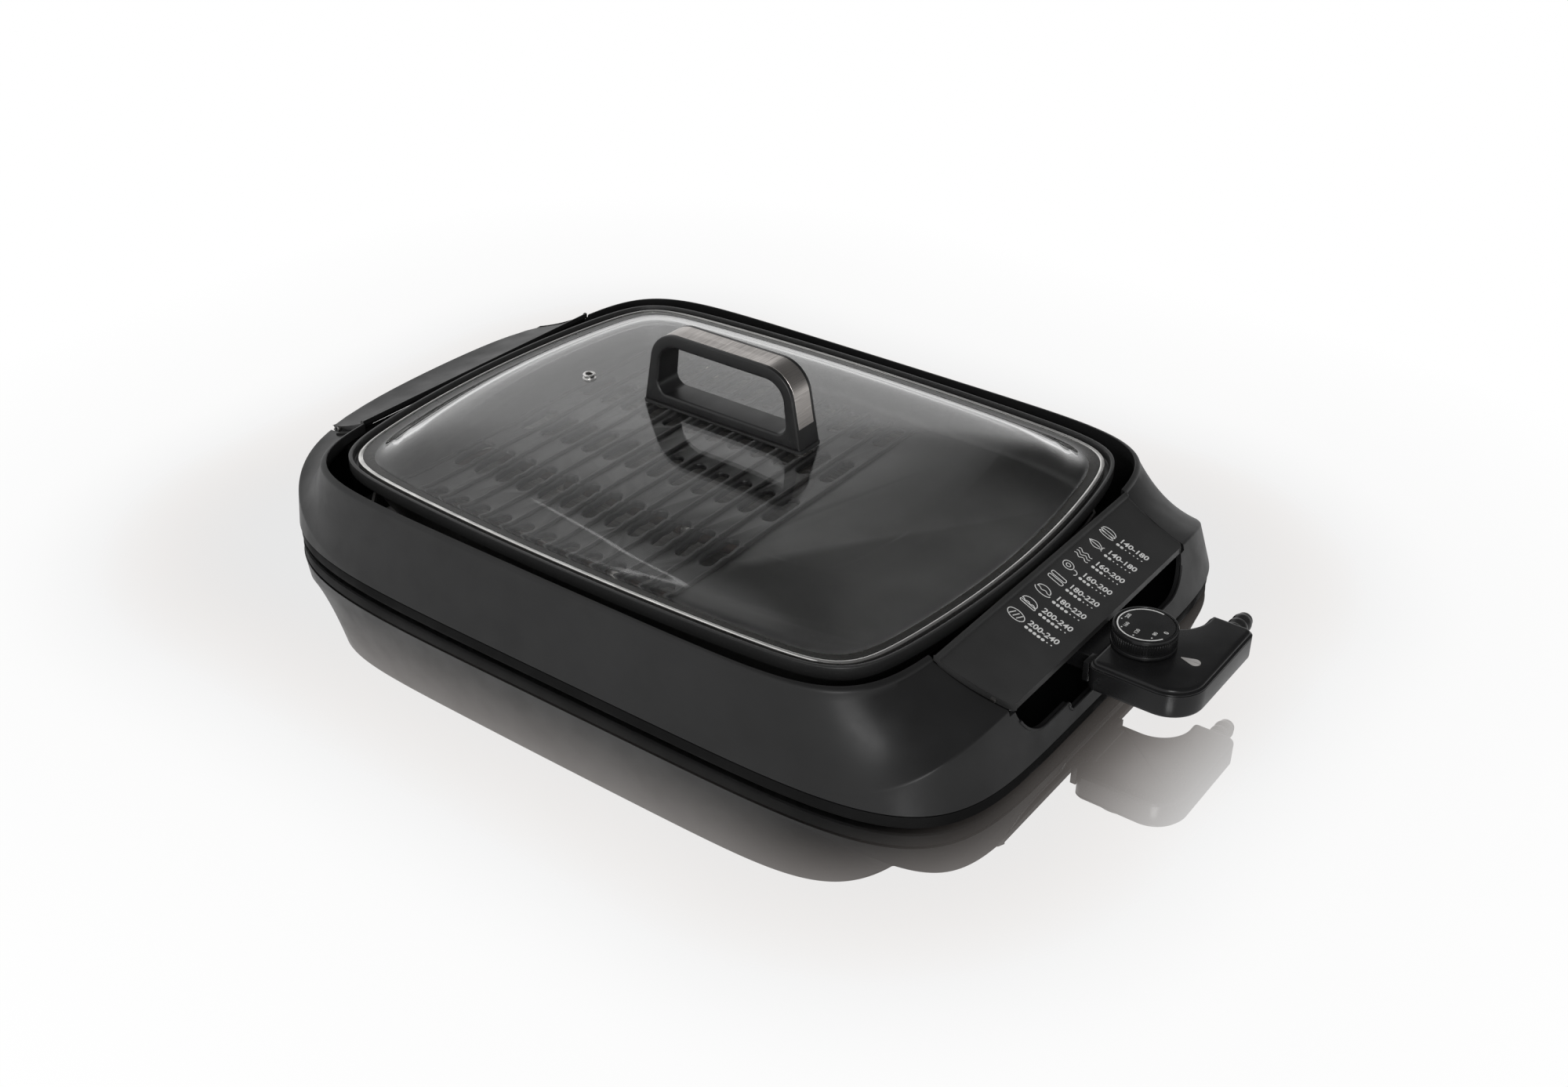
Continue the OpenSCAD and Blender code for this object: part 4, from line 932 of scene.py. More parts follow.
class GRILL_OT_housing(bpy.types.Operator):
    """Builds the moulded housing with its wings, rim and openings"""

    bl_idname = "grill.housing"
    bl_label = "Housing"

    def execute(self, context):
        s = sizes(context)
        angle = even_angles(RING_STEPS + 60, lambda a: wall_ring(s, a, s.base_height, 0.0))
        c = crease(s, angle)
        heights = [s.base_height + (c - s.base_height) * k for k in (0.0, 0.02, 0.25, 0.5, 0.75)]
        heights[1] = s.base_height + 0.08
        rings = [wall_ring(s, angle, h, i) for h, i in zip(heights, (0.3, 0.0, 0.0, 0.0, 0.0))]
        below = c - np.minimum(1.1, 0.2 * (c - s.base_height))
        round_end = 0.03
        corner = [wall_ring(s, angle, below, 0)] + [flare_ring(s, angle, t, 0) for t in (0, round_end)]
        rings += [quadratic(corner, t) for t in np.linspace(0, 1, 5)]
        rings += [flare_ring(s, angle, t, 0) for t in np.linspace(round_end, 1, 18)[1:]]
        for a in np.linspace(0, np.radians(78), 6)[1:]:
            height = s.rim_height - s.rim_radius + s.rim_radius * np.sin(a)
            rings.append(rim_ring(s, angle, height, s.rim_radius * np.cos(a)))
        rings.append(rim_ring(s, angle, s.rim_height, 0.35))
        rings.append(rim_ring(s, angle, s.rim_height - 0.35, 0.0))
        rings += [flare_ring(s, angle, t, s.wall) for t in np.linspace(1, 0, 12)]
        rings.append(wall_ring(s, angle, s.base_height, s.wall))
        left_cut = box(-s.half_length - 6, -s.cover_start - 8, -s.port_half, s.port_half, 2, 55)
        cutters = [cover_cutter(s), mirrored(cover_cutter(s), 0), port_cutter(s), left_cut]
        make_piece("housing_shell", [closed_ring(rings)], cutters)
        self.make_ledges(s)
        self.make_port_lip(s)
        return {"FINISHED"}

    def make_port_lip(self, s):
        """A fine bead along the lower edge of the thermostat opening, on the leaning end wall."""
        loop = port_loop(s)
        loop = loop[(loop[:, 1] < s.end_height - 8) & (np.abs(loop[:, 0]) < s.port_half + 1)]
        reach = s.half_length - s.end_lean * (loop[:, 1] - s.base_height)
        x = reach * (1 - np.abs(loop[:, 0] / s.half_depth) ** s.right_power) ** (1 / s.right_power)
        path = np.stack([x, loop[:, 0], loop[:, 1]], -1)
        bead = sweep(path, circle(0.8, 12), up=(1.0, 0.0, 0.0))
        make_piece("port_lip", [bead])

    def make_ledges(self, s):
        """Inner end walls and the ledges that carry the covers."""
        top = s.rim_height - s.rim_radius - s.cover_thickness - 1.0
        x0 = s.cover_start + 2
        half = s.cover_inner + 12
        outer, inner, plug_top = s.port_half - 14, s.port_half - 13, s.plug_z + 10
        solids = []
        for low_y, high_y in ((-half, -outer), (outer, half)):
            solids.append(box(x0, x0 + 2.5, low_y, high_y, s.base_height, top))
            solids.append(mirrored(solids[-1], 0))
        for low_y, high_y, low, high in (
            (-inner, inner, plug_top, top),
            (18, inner, 14, plug_top + 0.2),
            (-inner, -31, 14, plug_top + 0.2),
        ):
            solids.append(box(x0, x0 + 2.5, low_y, high_y, low, high))
        solids.append(box(-x0 - 2.5, -x0, -inner, inner, 26, top))
        cheek = box(-s.cover_end + 4, -s.cover_end + 16, s.port_half - 6, s.port_half + 3, s.base_height, 41)
        solids += [cheek, mirrored(cheek, 1)]
        for ledge, side in ((self.ledge(s, 0.05), 1), (self.ledge(s, 0.4), -1)):
            for part in (ledge, mirrored(ledge, 1)):
                solids.append(part if side > 0 else mirrored(part, 0))
        make_piece("cover_ledges", solids)

    def ledge(self, s, start):
        """A strip under the seam of a cover, following its slope from a share of its length."""
        top = cover_line(s, np.linspace(start, 1, 14)) - np.array([0, s.cover_thickness + 0.1])
        loop = np.concatenate([top, top[::-1] - np.array([0, 2.4])])
        rings = [lift(loop, s.cover_outer - 2), lift(loop, s.cover_inner + 4)]
        points, faces = stack(rings)
        points = turned(points, "y")
        slope = (s.cover_inner - s.cover_outer) / (s.cover_end - s.cover_start)
        points[:, 1] -= (points[:, 0] - s.cover_start) * slope * 0.6
        return points, faces


def cover_solid(s):
    """An end cover: its side view carried across, rounded at both seams and at its outer corners.

    The half width falls evenly from the rim to the outer edge, and there by a quarter round.
    """
    top = cover_top(s)
    under = top[::-1] - np.array([0, s.cover_thickness])
    lip = np.array([[s.cover_end - 0.9, s.end_height - s.cover_thickness - 1.2]])
    foot = np.array([[s.cover_end + 0.05, s.end_height - s.cover_thickness - 0.9]])
    loop = np.concatenate([under, lip, foot, top])[::-1]
    insets, places = edge_levels(-s.cover_inner, s.cover_inner, 0.7, 0.7, 6)
    rings = [lift(inset_loop(loop, i * 0.9), y) for i, y in zip(insets, places)]
    rings = np.concatenate([rings[:6], [lift(loop, y) for y in np.linspace(-90, 90, 13)], rings[6:]])
    points, faces = stack(rings)
    points = turned(points, "y")
    along = (points[:, 0] - s.cover_start) / (s.cover_end - s.cover_start)
    half = s.cover_inner + (s.cover_outer - s.cover_inner) * along
    corner = 3.0
    past = np.clip(points[:, 0] - (s.cover_end - corner), 0, corner)
    half -= corner - np.sqrt(corner**2 - past**2)
    points[:, 1] *= half / s.cover_inner
    return points, faces


def left_cover_solid(s):
    """The left cover, kept inside the round end: its outer edge follows the crease and is arched."""
    points, faces = kept_left(s, cover_solid(s))
    depth = np.abs(points[:, 1])
    along = np.clip((-points[:, 0] - s.cover_start) / (s.cover_end - s.cover_start), 0, 1)
    skirt = s.cover_thickness + 1.2
    upper = np.clip((points[:, 2] - s.end_height + skirt) / skirt, 0, 1)
    arch = s.left_arch * (1 - np.clip(depth / s.cover_outer, 0, 1) ** 2)
    drop = s.crease_rise * (depth / s.half_depth) ** s.left_power
    points[:, 2] += along**1.5 * upper * (arch - drop)
    return points, faces


class GRILL_OT_covers(bpy.types.Operator):
    """Builds the end cover on the left and the guide panel on the right"""

    bl_idname = "grill.covers"
    bl_label = "End covers"

    def execute(self, context):
        s = sizes(context)
        make_piece("guide_panel_cover", [cover_solid(s)])
        make_piece("left_cover", [left_cover_solid(s)])
        return {"FINISHED"}


# Print, in millimetres

DOT_STEP, DOT_RADIUS, DOT_DROP = 2.7, 1.1, 2.7
# How far the ink stands out of the panel and reaches into it, and the same for the dial
PANEL_INK, DIAL_INK = (0.06, -0.05), (0.05, -0.06)
FIGURE_WEIGHT = 0.02


def on_panel(s, points):
    """Flat print, laid on the guide panel: x runs down the slope, y to the rear, z is its height."""
    line = cover_top(s, 60)[::-1]
    run = np.concatenate([[0], np.cumsum(np.linalg.norm(np.diff(line, axis=0), axis=1))])
    slope = np.gradient(line, run, axis=0)
    u = points[:, 0]
    x = np.interp(u, run, line[:, 0]) + points[:, 2] * -np.interp(u, run, slope[:, 1])
    z = np.interp(u, run, line[:, 1]) + points[:, 2] * np.interp(u, run, slope[:, 0])
    return np.stack([x, points[:, 1], z], -1)


def figures(text, height, thickness, weight=0.0, align="LEFT"):
    """Plain figures as flat solids: height is the height of a figure, in millimetres."""
    curve = bpy.data.curves.new("figures", "FONT")
    curve.body = text
    curve.align_x = align
    curve.resolution_u = 3
    curve.size = 1.0
    curve.offset = weight
    curve.extrude = 0.5
    thing = bpy.data.objects.new("figures", curve)
    bpy.context.scene.collection.objects.link(thing)
    mesh = bpy.data.meshes.new_from_object(thing.evaluated_get(bpy.context.evaluated_depsgraph_get()))
    co = np.zeros(len(mesh.vertices) * 3)
    mesh.vertices.foreach_get("co", co)
    faces = [list(p.vertices) for p in mesh.polygons]
    bpy.data.objects.remove(thing)
    bpy.data.curves.remove(curve)
    bpy.data.meshes.remove(mesh)
    points = co.reshape(-1, 3)
    return points * np.array([height / CAPITAL, height / CAPITAL, thickness]), faces


def ribbon(path, width, closed=False, thickness=0.1):
    """A flat line of a width along a plan path."""
    half = width / 2
    section = [(-half, -thickness), (half, -thickness), (half, thickness), (-half, thickness)]
    path = np.array(path, float)
    return sweep(lift(path, 0.0), section, closed)


def arc(centre, radius_x, radius_y, start, end, count=22):
    """Points of an elliptic arc between two angles in degrees."""
    a = np.radians(np.linspace(start, end, count))
    return np.stack([centre[0] + radius_x * np.cos(a), centre[1] + radius_y * np.sin(a)], -1)


def oval(centre, radius_x, radius_y, count=32):
    """A closed ellipse."""
    return arc(centre, radius_x, radius_y, 0, 360 * (1 - 1 / count), count)


def wave(x0, x1, y, height, turns):
    """A sine line."""
    x = np.linspace(x0, x1, 26)
    return np.stack([x, y + height * np.sin(TAU * turns * (x - x0) / (x1 - x0))], -1)


def leaf(length_x, width):
    """A pointed oval: half width falls off as the cosine along its length."""
    x = np.linspace(-1, 1, 17)
    upper = np.stack([x * length_x, width * np.cos(x * np.pi / 2)], -1)
    return np.concatenate([upper, upper[-2:0:-1] * np.array([1, -1])])


def icon_lines(index):
    """Closed and open lines of one icon, about 11 by 8 mm round its middle."""
    tray = arc((0, -1.2), 5.2, 2.4, 180, 360)
    icons = [
        ([oval((0, -2.4), 4.8, 1.2), oval((0, 0.0), 4.8, 1.2)], [arc((0, 0.6), 4.8, 3.4, 10, 170)]),
        ([leaf(4.6, 2.6)], [np.array([(-4.6, 0.0), (3.0, 0.0)]), arc((5.6, 0), 1.4, 2.2, 110, 250)]),
        ([], [wave(-4.8, 4.8, y, 0.8, 2) for y in (-2.6, 0.0, 2.6)]),
        ([oval((-1.4, 0), 3.4, 3.2), oval((-1.4, 0), 1.4, 1.3)], [arc((3.6, -2.2), 2.0, 2.2, -60, 120)]),
        ([rectangle(-5, 5, 0.6, 3.2, 1.2, 6), rectangle(-5, 5, -3.2, -0.6, 1.2, 6)], []),
        ([], [arc((0, -0.2), 4.4, 3.8, 0, 180), wave(-4.4, 4.4, -0.2, 0.5, 2), tray]),
        (
            [rectangle(-5, 5, -3.4, -1.8, 0.7, 6)],
            [arc((0, -0.6), 4.8, 3.8, 0, 180), wave(-5, 5, -0.9, 0.4, 3)],
        ),
        ([oval((0, 0), 5.4, 3.6)], [np.array([(x - 0.9, -2.2), (x + 0.9, 2.2)]) for x in (-2.4, 0.0, 2.4)]),
    ]
    return icons[index % len(icons)]


def dots(count, filled, start, step, radius, thickness=0.1):
    """A row of dots, the first ones full size and the rest small."""
    radii = [radius if i < filled else radius * 0.42 for i in range(count)]
    return [
        stack([lift(circle(r, 14, (start + step * i, 0.0)), z) for z in (-thickness, thickness)])
        for i, r in enumerate(radii)
    ]


class GRILL_OT_guide_print(bpy.types.Operator):
    """Lays the printed cooking guide on the right-hand panel"""

    bl_idname = "grill.guide_print"
    bl_label = "Guide print"

    def execute(self, context):
        s = sizes(context)
        marks = []
        for row in range(s.rows):
            place = s.first_row - s.row_step * row
            closed, opened = icon_lines(row)
            lines = [ribbon(p, s.line_width, True) for p in closed]
            lines += [ribbon(p, s.line_width) for p in opened]
            marks += [moved(line, s.icon_place, place) for line in lines]
            heat = 2 + row // 2
            low = 100 + 20 * heat
            text = figures(f"{low}-{low + 40}", s.figure_height, 0.2, FIGURE_WEIGHT)
            marks.append(moved(text, s.text_place, place + 0.2))
            level = dots(7, heat, s.text_place + DOT_RADIUS, DOT_STEP, DOT_RADIUS)
            marks += [moved(dot, 0.0, place - DOT_DROP) for dot in level]
        points, faces = joined(marks)
        points[:, 2] = np.where(points[:, 2] > 0, *PANEL_INK)
        make_piece("guide_print", [(on_panel(s, points), faces)])
        return {"FINISHED"}


# Base, plate and tray

AIR_SLOT_PLACES, AIR_SLOT_ROWS = range(-150, 151, 20), (-116, 116)
SEAM_PLACES, SEAM_INSET = (-175, 175), 9.3


class GRILL_OT_base(bpy.types.Operator):
    """Builds the black base with its joint line and air slots"""

    bl_idname = "grill.base"
    bl_label = "Base"

    def execute(self, context):
        s = sizes(context)
        angle = even_angles(RING_STEPS, lambda a: wall_ring(s, a, s.base_height, 0.0))
        low, top, floor = s.base_low, s.base_height - 0.1, s.base_low + 2.0
        levels = [
            (3.0, low), (1.2, low + 0.3), (0.5, low + 1.2), (0.4, low + 2.5), (0.4, top - 1.3),
            (0.5, top - 1.0), (1.1, top - 0.9), (1.1, top), (s.wall, top), (s.wall, floor),
        ]
        rings = []
        for inset, z in levels:
            ring = wall_ring(s, angle, s.base_height, inset)
            ring[:, 2] = z
            rings.append(ring)
        slots = [
            box(x - 3, x + 3, y - 12, y + 12, low - 1, floor + 1, 0.05)
            for x in AIR_SLOT_PLACES for y in AIR_SLOT_ROWS
        ]
        seam_y = s.half_depth - SEAM_INSET
        seams = [
            box(x - 0.35, x + 0.35, y - 12, y + 12, low - 1, top - 1.4, 0.05)
            for x in SEAM_PLACES for y in (-seam_y, seam_y)
        ]
        make_piece("base_tub", [stack(rings)], [joined(slots)] + [self.thin(seam, s) for seam in seams])
        return {"FINISHED"}

    def thin(self, solid, s):
        """Keeps only the outermost stretch of a seam cutter."""
        points, faces = solid
        side = np.sign(points[:, 1].mean())
        edge = side * (s.half_depth - 1.3)
        inner = np.abs(points[:, 1]) < s.half_depth - SEAM_INSET
        return np.where((inner[:, None]) & (np.arange(3) == 1), edge, points), faces


def plate_ring(s, angle, inset, z):
    """The plate's outline, drawn in, at a height."""
    loop = outline(s.plate_length - 2 * inset, s.plate_depth - 2 * inset, PLATE_POWER, PLATE_BOW, angle)
    return lift(loop, z)


def slot_cutter(s, x, y):
    """A drain slot whose upper edge is rounded outwards."""
    r = s.slot_width / 2
    loop = rectangle(x - r, x + r, y - s.slot_length / 2, y + s.slot_length / 2, r - 0.01, 10)
    top, low = s.cook_height, s.cook_height - s.floor_thickness
    levels = [
        (0, low - 2), (0, top - 0.9), (-0.15, top - 0.45), (-0.5, top - 0.12), (-1.0, top),
        (-1.0, top + 1),
    ]
    return stack(drawn_in(loop, levels))


class GRILL_OT_plate(bpy.types.Operator):
    """Builds the coated grill plate with its slots and ridges"""

    bl_idname = "grill.plate"
    bl_label = "Grill plate"

    def execute(self, context):
        s = sizes(context)
        angle = even_angles(RING_STEPS, lambda a: plate_ring(s, a, 0.0, 0.0))
        low = s.cook_height - s.floor_thickness
        lip, ledge, flat = s.lip_height, s.ledge_height, s.floor_inset
        levels = [
            (flat + 1, low), (flat - 0.6, low + 0.4), (6.0, ledge - 6), (1.2, ledge - 3.6),
            (0.3, ledge - 2.8), (0.0, ledge - 1.8), (0.0, lip - 0.7), (0.2, lip - 0.2), (0.7, lip),
            (1.5, lip), (2.0, lip - 0.2), (2.2, lip - 0.7), (2.4, ledge + 0.5), (2.9, ledge),
            (8.6, ledge), (9.3, ledge - 0.3), (9.8, ledge - 1.0),
        ]
        t = np.linspace(0, 1, 12)[1:]
        knots, cook = [0, 0.5, 0.85, 1.0], s.cook_height
        wall = hermite(knots, [ledge - 1, cook + 9, cook + 1.2, cook], t)
        slope = hermite(knots, [9.8, flat - 2.6, flat - 0.2, flat + 2.2], t)
        levels += list(zip(slope, wall))
        rings = [plate_ring(s, angle, inset, z) for inset, z in levels]
        columns = [s.ridged_end - 10.4 - s.ridge_pitch * i for i in range(s.slot_columns)]
        slots = [
            slot_cutter(s, x, row * s.row_pitch)
            for i, x in enumerate(columns) for row in range(-2, 3)
            if not (i == s.slot_columns - 1 and abs(row) == 2)
        ]
        make_piece("coated_plate", [stack(rings)], [joined(slots)])
        half = s.plate_depth / 2 - flat - 8
        ridges = []
        for i in range(s.slot_columns + 1):
            x = s.ridged_end - 10.4 + s.ridge_pitch * (0.5 - i)
            reach = half - (16 if i == s.slot_columns else 0)
            loop = rectangle(x - s.ridge_width / 2, x + s.ridge_width / 2, -reach, reach, 1.45, 8)
            top = s.cook_height + s.ridge_height
            ridges.append(prism(loop, s.cook_height - 0.4, top, 0.05, 1.2, 6))
        make_piece("plate_ridges", ridges)
        return {"FINISHED"}


class GRILL_OT_tray(bpy.types.Operator):
    """Builds the drip tray and its front grip"""

    bl_idname = "grill.tray"
    bl_label = "Drip tray"

    def execute(self, context):
        s = sizes(context)
        low, high = TRAY_BOX[0] - [SHIFT, 0, 0], TRAY_BOX[1] - [SHIFT, 0, 0]
        loop = rectangle(low[0], high[0], low[1], high[1], 8)
        under, rim = low[2], high[2]
        levels = [
            (2.6, under), (1.6, under + 0.3), (1.0, under + 1.2), (0.8, rim - 0.9), (0.0, rim - 0.5),
            (0.0, rim - 0.1), (0.3, rim), (1.5, rim), (1.8, rim - 0.8), (2.4, under + 1.8),
            (3.4, under + 1.0),
        ]
        make_piece("tray_pan", [stack(drawn_in(loop, levels))])
        grip_low, grip_high = node_box("tray_handle")
        x0, x1 = grip_low[0] - SHIFT, low[0] - 0.1
        bar = prism(rectangle(x0, x1, grip_low[1], grip_high[1], 2.5), grip_low[2], grip_high[2], 0.8, 1.2)
        finger = rectangle(x0 - 6, x0 + 2.6, grip_low[2] - 4, grip_low[2] + 5.5, 2.4)
        points, faces = stack(drawn_in(finger, ((2, -42), (0, -36), (0, 36), (2, 42))))
        make_piece("tray_grip", [bar], [(turned(points, "y"), faces)])
        return {"FINISHED"}


# Lid


def dome_ring(s, angle, t):
    """A ring of the dome: a power-4 superellipse near the middle, the lid's outline at its edge."""
    size_x, size_y = s.lid_length - 2 * DOME_INSET, s.lid_depth - 2 * DOME_INSET
    inner = outline(size_x, size_y, DOME_POWER, NO_BOW, angle)
    outer = outline(size_x, size_y, LID_POWER, PLATE_BOW, angle)
    mix = smooth_step((t - SQUARE_START) / (1 - SQUARE_START))
    return t * ((1 - mix) * inner + mix * outer)


def dome_height(s, t):
    """Height of the dome: it falls with the square of the share from the middle."""
    return s.glass_top - DOME_FALL * t * t


def glass_height(s, x, y):
    """Height of the glass near the middle of the lid."""
    half_x, half_y = s.lid_length / 2 - DOME_INSET, s.lid_depth / 2 - DOME_INSET
    t = (np.abs(x / half_x) ** DOME_POWER + np.abs(y / half_y) ** DOME_POWER) ** (1 / DOME_POWER)
    return dome_height(s, t)


def lid_ring(s, angle, inset, z):
    """The lid's outline, drawn in, at a height."""
    loop = outline(s.lid_length - 2 * inset, s.lid_depth - 2 * inset, LID_POWER, PLATE_BOW, angle)
    return lift(loop, z)


class GRILL_OT_lid(bpy.types.Operator):
    """Builds the glass dome, its steel rim and the steam vent"""

    bl_idname = "grill.lid"
    bl_label = "Lid"

    def execute(self, context):
        s = sizes(context)
        angle = even_angles(RING_STEPS, lambda a: lid_ring(s, a, 0.0, 0.0))
        top, flange = s.glass_top, s.flange
        insets = [0.0, 6.0, 9.5, 14.0, 20.0, 28.0, 38.0, 50.0, 62.0]
        heights = [
            flange, flange + 0.1, flange + 0.8, top - 21.2, top - 17, top - 12.4, top - 9,
            top - DOME_FALL, top - 5.1,
        ]
        shares = [0.03, 0.12, 0.24, 0.36, 0.48, 0.6, 0.7, 0.8, 0.9]
        rings = [lift(dome_ring(s, angle, t), dome_height(s, t)) for t in shares]
        spots = np.concatenate([np.linspace(DOME_INSET, 6, 44), [3.0]])
        high = hermite(insets, heights, spots)
        edge = [(1.6, flange), (1.25, flange - 0.35), (1.25, flange - 2.7), (1.6, flange - 3.0)]
        thick = s.glass_thickness
        tilt = np.arctan(np.gradient(high, spots))
        under = spots + thick * np.sin(tilt)
        low = np.maximum(high - thick * np.cos(tilt), flange - 3.0)
        levels = list(zip(spots, high)) + edge + list(zip(under, low))[-2::-1]
        rings += [lid_ring(s, angle, i, z) for i, z in levels]
        rings += [lift(dome_ring(s, angle, t), dome_height(s, t) - thick) for t in shares[::-1]]
        screw = s.handle_foot - 6.3
        holes = [
            stack([lift(circle(r, 40, (x, 0.0)), z) for z in (s.seat_top - 20, s.seat_top + 4)])
            for x, r in ((-s.vent_place, s.vent_width / 2 + 1), (-screw, 2.8), (screw, 2.8))
        ]
        make_piece("glass_dome", [stack(rings)], holes, np.radians(50))
        self.make_band(s, angle)
        self.make_vent(s)
        return {"FINISHED"}

    def make_band(self, s, angle):
        """A steel strip rolled round the edge of the glass, with its foot under the flange."""
        low, flange = s.band_low, s.flange
        levels = [
            (0.4, low), (0.0, low + 0.5), (0.0, flange - 0.6), (0.15, flange + 0.05), (0.6, flange + 0.5),
            (1.2, flange + 0.65), (1.8, flange + 0.5), (2.3, flange + 0.1), (2.2, flange + 0.02),
            (1.3, flange + 0.06), (1.15, flange - 0.3), (1.15, low + 0.5), (8.0, low + 0.5), (8.0, low),
        ]
        rings = [lid_ring(s, angle, inset, z) for inset, z in levels]
        make_piece("rim_band", [closed_ring(rings)])

    def make_vent(self, s):
        """A turned steel eyelet through the glass."""
        r = s.vent_width / 2
        top = float(glass_height(s, s.vent_place, 0.0))
        low = top - s.glass_thickness
        profile = [
            (r, low - 0.9), (r + 0.3, low - 1.2), (r + 1.8, low - 1.2), (r + 2, low - 1.0),
            (r + 2, low - 0.3), (r + 0.9, low - 0.3), (r + 0.9, top + 0.25), (r + 1.5, top + 0.25),
            (r + 1.75, top + 0.5), (r + 1.75, top + 0.8), (r + 1.5, top + 1.1), (r + 0.9, top + 1.25),
            (r + 0.35, top + 1.15), (r, top + 0.8),
        ]
        vent = revolve(profile, 56, "z", (-s.vent_place, 0, 0), True)
        make_piece("vent_eyelet", [vent])


# Points at each corner of the handle, and how far above the seat its strip begins
HANDLE_STEPS, STRIP_START = 26, 12


def handle_loop(s, grow=0.0):
    """Side view of the handle's outside, grown: foot wider than the shoulders, which are round."""
    low, high = s.seat_top, s.handle_height
    # The sides lean, so their corner at the top lies past the shoulders
    lean = (s.handle_foot - s.handle_top) / (high - s.handle_radius - low)
    top = s.handle_foot - lean * (high - low)
    corners = [
        (-s.handle_foot - grow, low), (s.handle_foot + grow, low),
        (top + grow, high + grow), (-top - grow, high + grow),
    ]
    r = s.handle_radius
    return rounded_loop(corners, [0.6, 0.6, r + grow, r + grow], HANDLE_STEPS)


def grip_loop(s):
    """Side view of the opening for the fingers."""
    low, high = s.seat_top + s.foot_thickness, s.handle_height - s.bar_thickness
    leg = 8.6
    foot, top = s.handle_foot - leg - 1.2, s.handle_top - leg
    r = s.handle_radius - 7
    return rounded_loop([(-foot, low), (foot, low), (top, high), (-top, high)], [7, 7, r, r], HANDLE_STEPS)


def strip_solid(s, grow):
    """The steel strip: the stretch of the handle's outside above its lower ends."""
    loop = handle_loop(s, grow)
    start = s.seat_top + STRIP_START - grow
    fine = np.linspace(0, 1, 160)
    lower_end = 2 * HANDLE_STEPS - 1
    run = np.concatenate([[0], np.cumsum(np.linalg.norm(np.diff(loop, axis=0), axis=1))])
    high = np.flatnonzero(loop[:, 1] > start)
    first = run[high[0]] - (loop[high[0], 1] - start)
    last = run[high[-1]] + (loop[high[-1], 1] - start)
    first, last = max(first, run[lower_end]), min(last, run[-1] + (loop[-1, 1] - start))
    closed = np.concatenate([loop, loop[:1]])
    total = np.concatenate([run, [run[-1] + np.linalg.norm(loop[0] - loop[-1])]])
    at = first + (last - first) * fine
    path = np.stack([np.interp(at, total, closed[:, 0]), np.interp(at, total, closed[:, 1])], -1)
    along = np.gradient(path, axis=0)
    along /= np.linalg.norm(along, axis=1)[:, None]
    inward = np.stack([-along[:, 1], along[:, 0]], -1)
    half, deep = s.strip_width / 2 + grow, s.strip_thickness + 2 * grow
    e = 0.0 if grow else 0.2
    section = [(-half + e, 0.0), (half - e, 0.0), (half, e), (half, deep), (-half, deep), (-half, e)]
    rings = np.zeros((len(path), len(section), 3))
    for k, (y, depth) in enumerate(section):
        rings[:, k, 0] = path[:, 0] + inward[:, 0] * depth
        rings[:, k, 2] = path[:, 1] + inward[:, 1] * depth
        rings[:, k, 1] = y
    return stack(rings)


class GRILL_OT_handle(bpy.types.Operator):
    """Builds the lid handle with its steel strip and rubber seat"""

    bl_idname = "grill.handle"
    bl_label = "Lid handle"

    def execute(self, context):
        s = sizes(context)
        outer, inner = handle_loop(s), grip_loop(s)
        half = s.handle_depth / 2
        edge, soft = 0.9, 1.6
        rings = drawn_in(outer, zip(*edge_levels(-half, half, edge, edge, 6)))
        rings += drawn_in(inner, [(-i, -y) for i, y in zip(*edge_levels(-half, half, soft, soft, 6))])
        points, faces = closed_ring(rings)
        make_piece("handle_arch", [(turned(points, "y"), faces)], [strip_solid(s, 0.06)])
        make_piece("handle_trim", [strip_solid(s, 0.0)])
        loop = rectangle(-s.handle_foot - 1, s.handle_foot + 1, -half - 1, half + 1, 3)
        fine = np.linspace(0, 1, 9)[:, None, None]
        ends = np.stack([loop, np.roll(loop, -1, 0)])
        loop = (ends[0] * (1 - fine) + ends[1] * fine)[:-1].transpose(1, 0, 2).reshape(-1, 2)
        glass = glass_height(s, loop[:, 0], loop[:, 1]) + 0.06
        top = s.seat_top - 0.05
        rings = [lift(loop, glass), lift(loop, top - 0.3), lift(inset_loop(loop, 0.3), top)]
        make_piece("handle_gasket", [stack(rings)])
        return {"FINISHED"}


# Thermostat

RIBBED_LENGTH, RIB_PITCH, RIB_DEPTH = 16.5, 5.5, 1.5


def pod_loop(s, i=0.0):
    """Plan of the thermostat body, drawn in by i, with the round hollow at its rear."""
    hollow_x, hollow_y, hollow_r = s.half_length + 32.7, 15.5, 20.0
    x0, x1, y0, y1 = s.pod_start + i, s.pod_end - i, -s.pod_front + i, s.pod_back - i
    bay_x, bay_y = hollow_x + i, hollow_y - i
    corners = [(x0, y0), (x1, y0), (x1, y1), (bay_x, y1), (bay_x, bay_y), (x0, bay_y)]
    radii = [max(5 - i, 0.4), 20 - i, max(5 - i, 0.4), max(2.6 - i, 0.4), hollow_r + i, max(1.5 - i, 0.4)]
    return rounded_loop(corners, radii, 22)


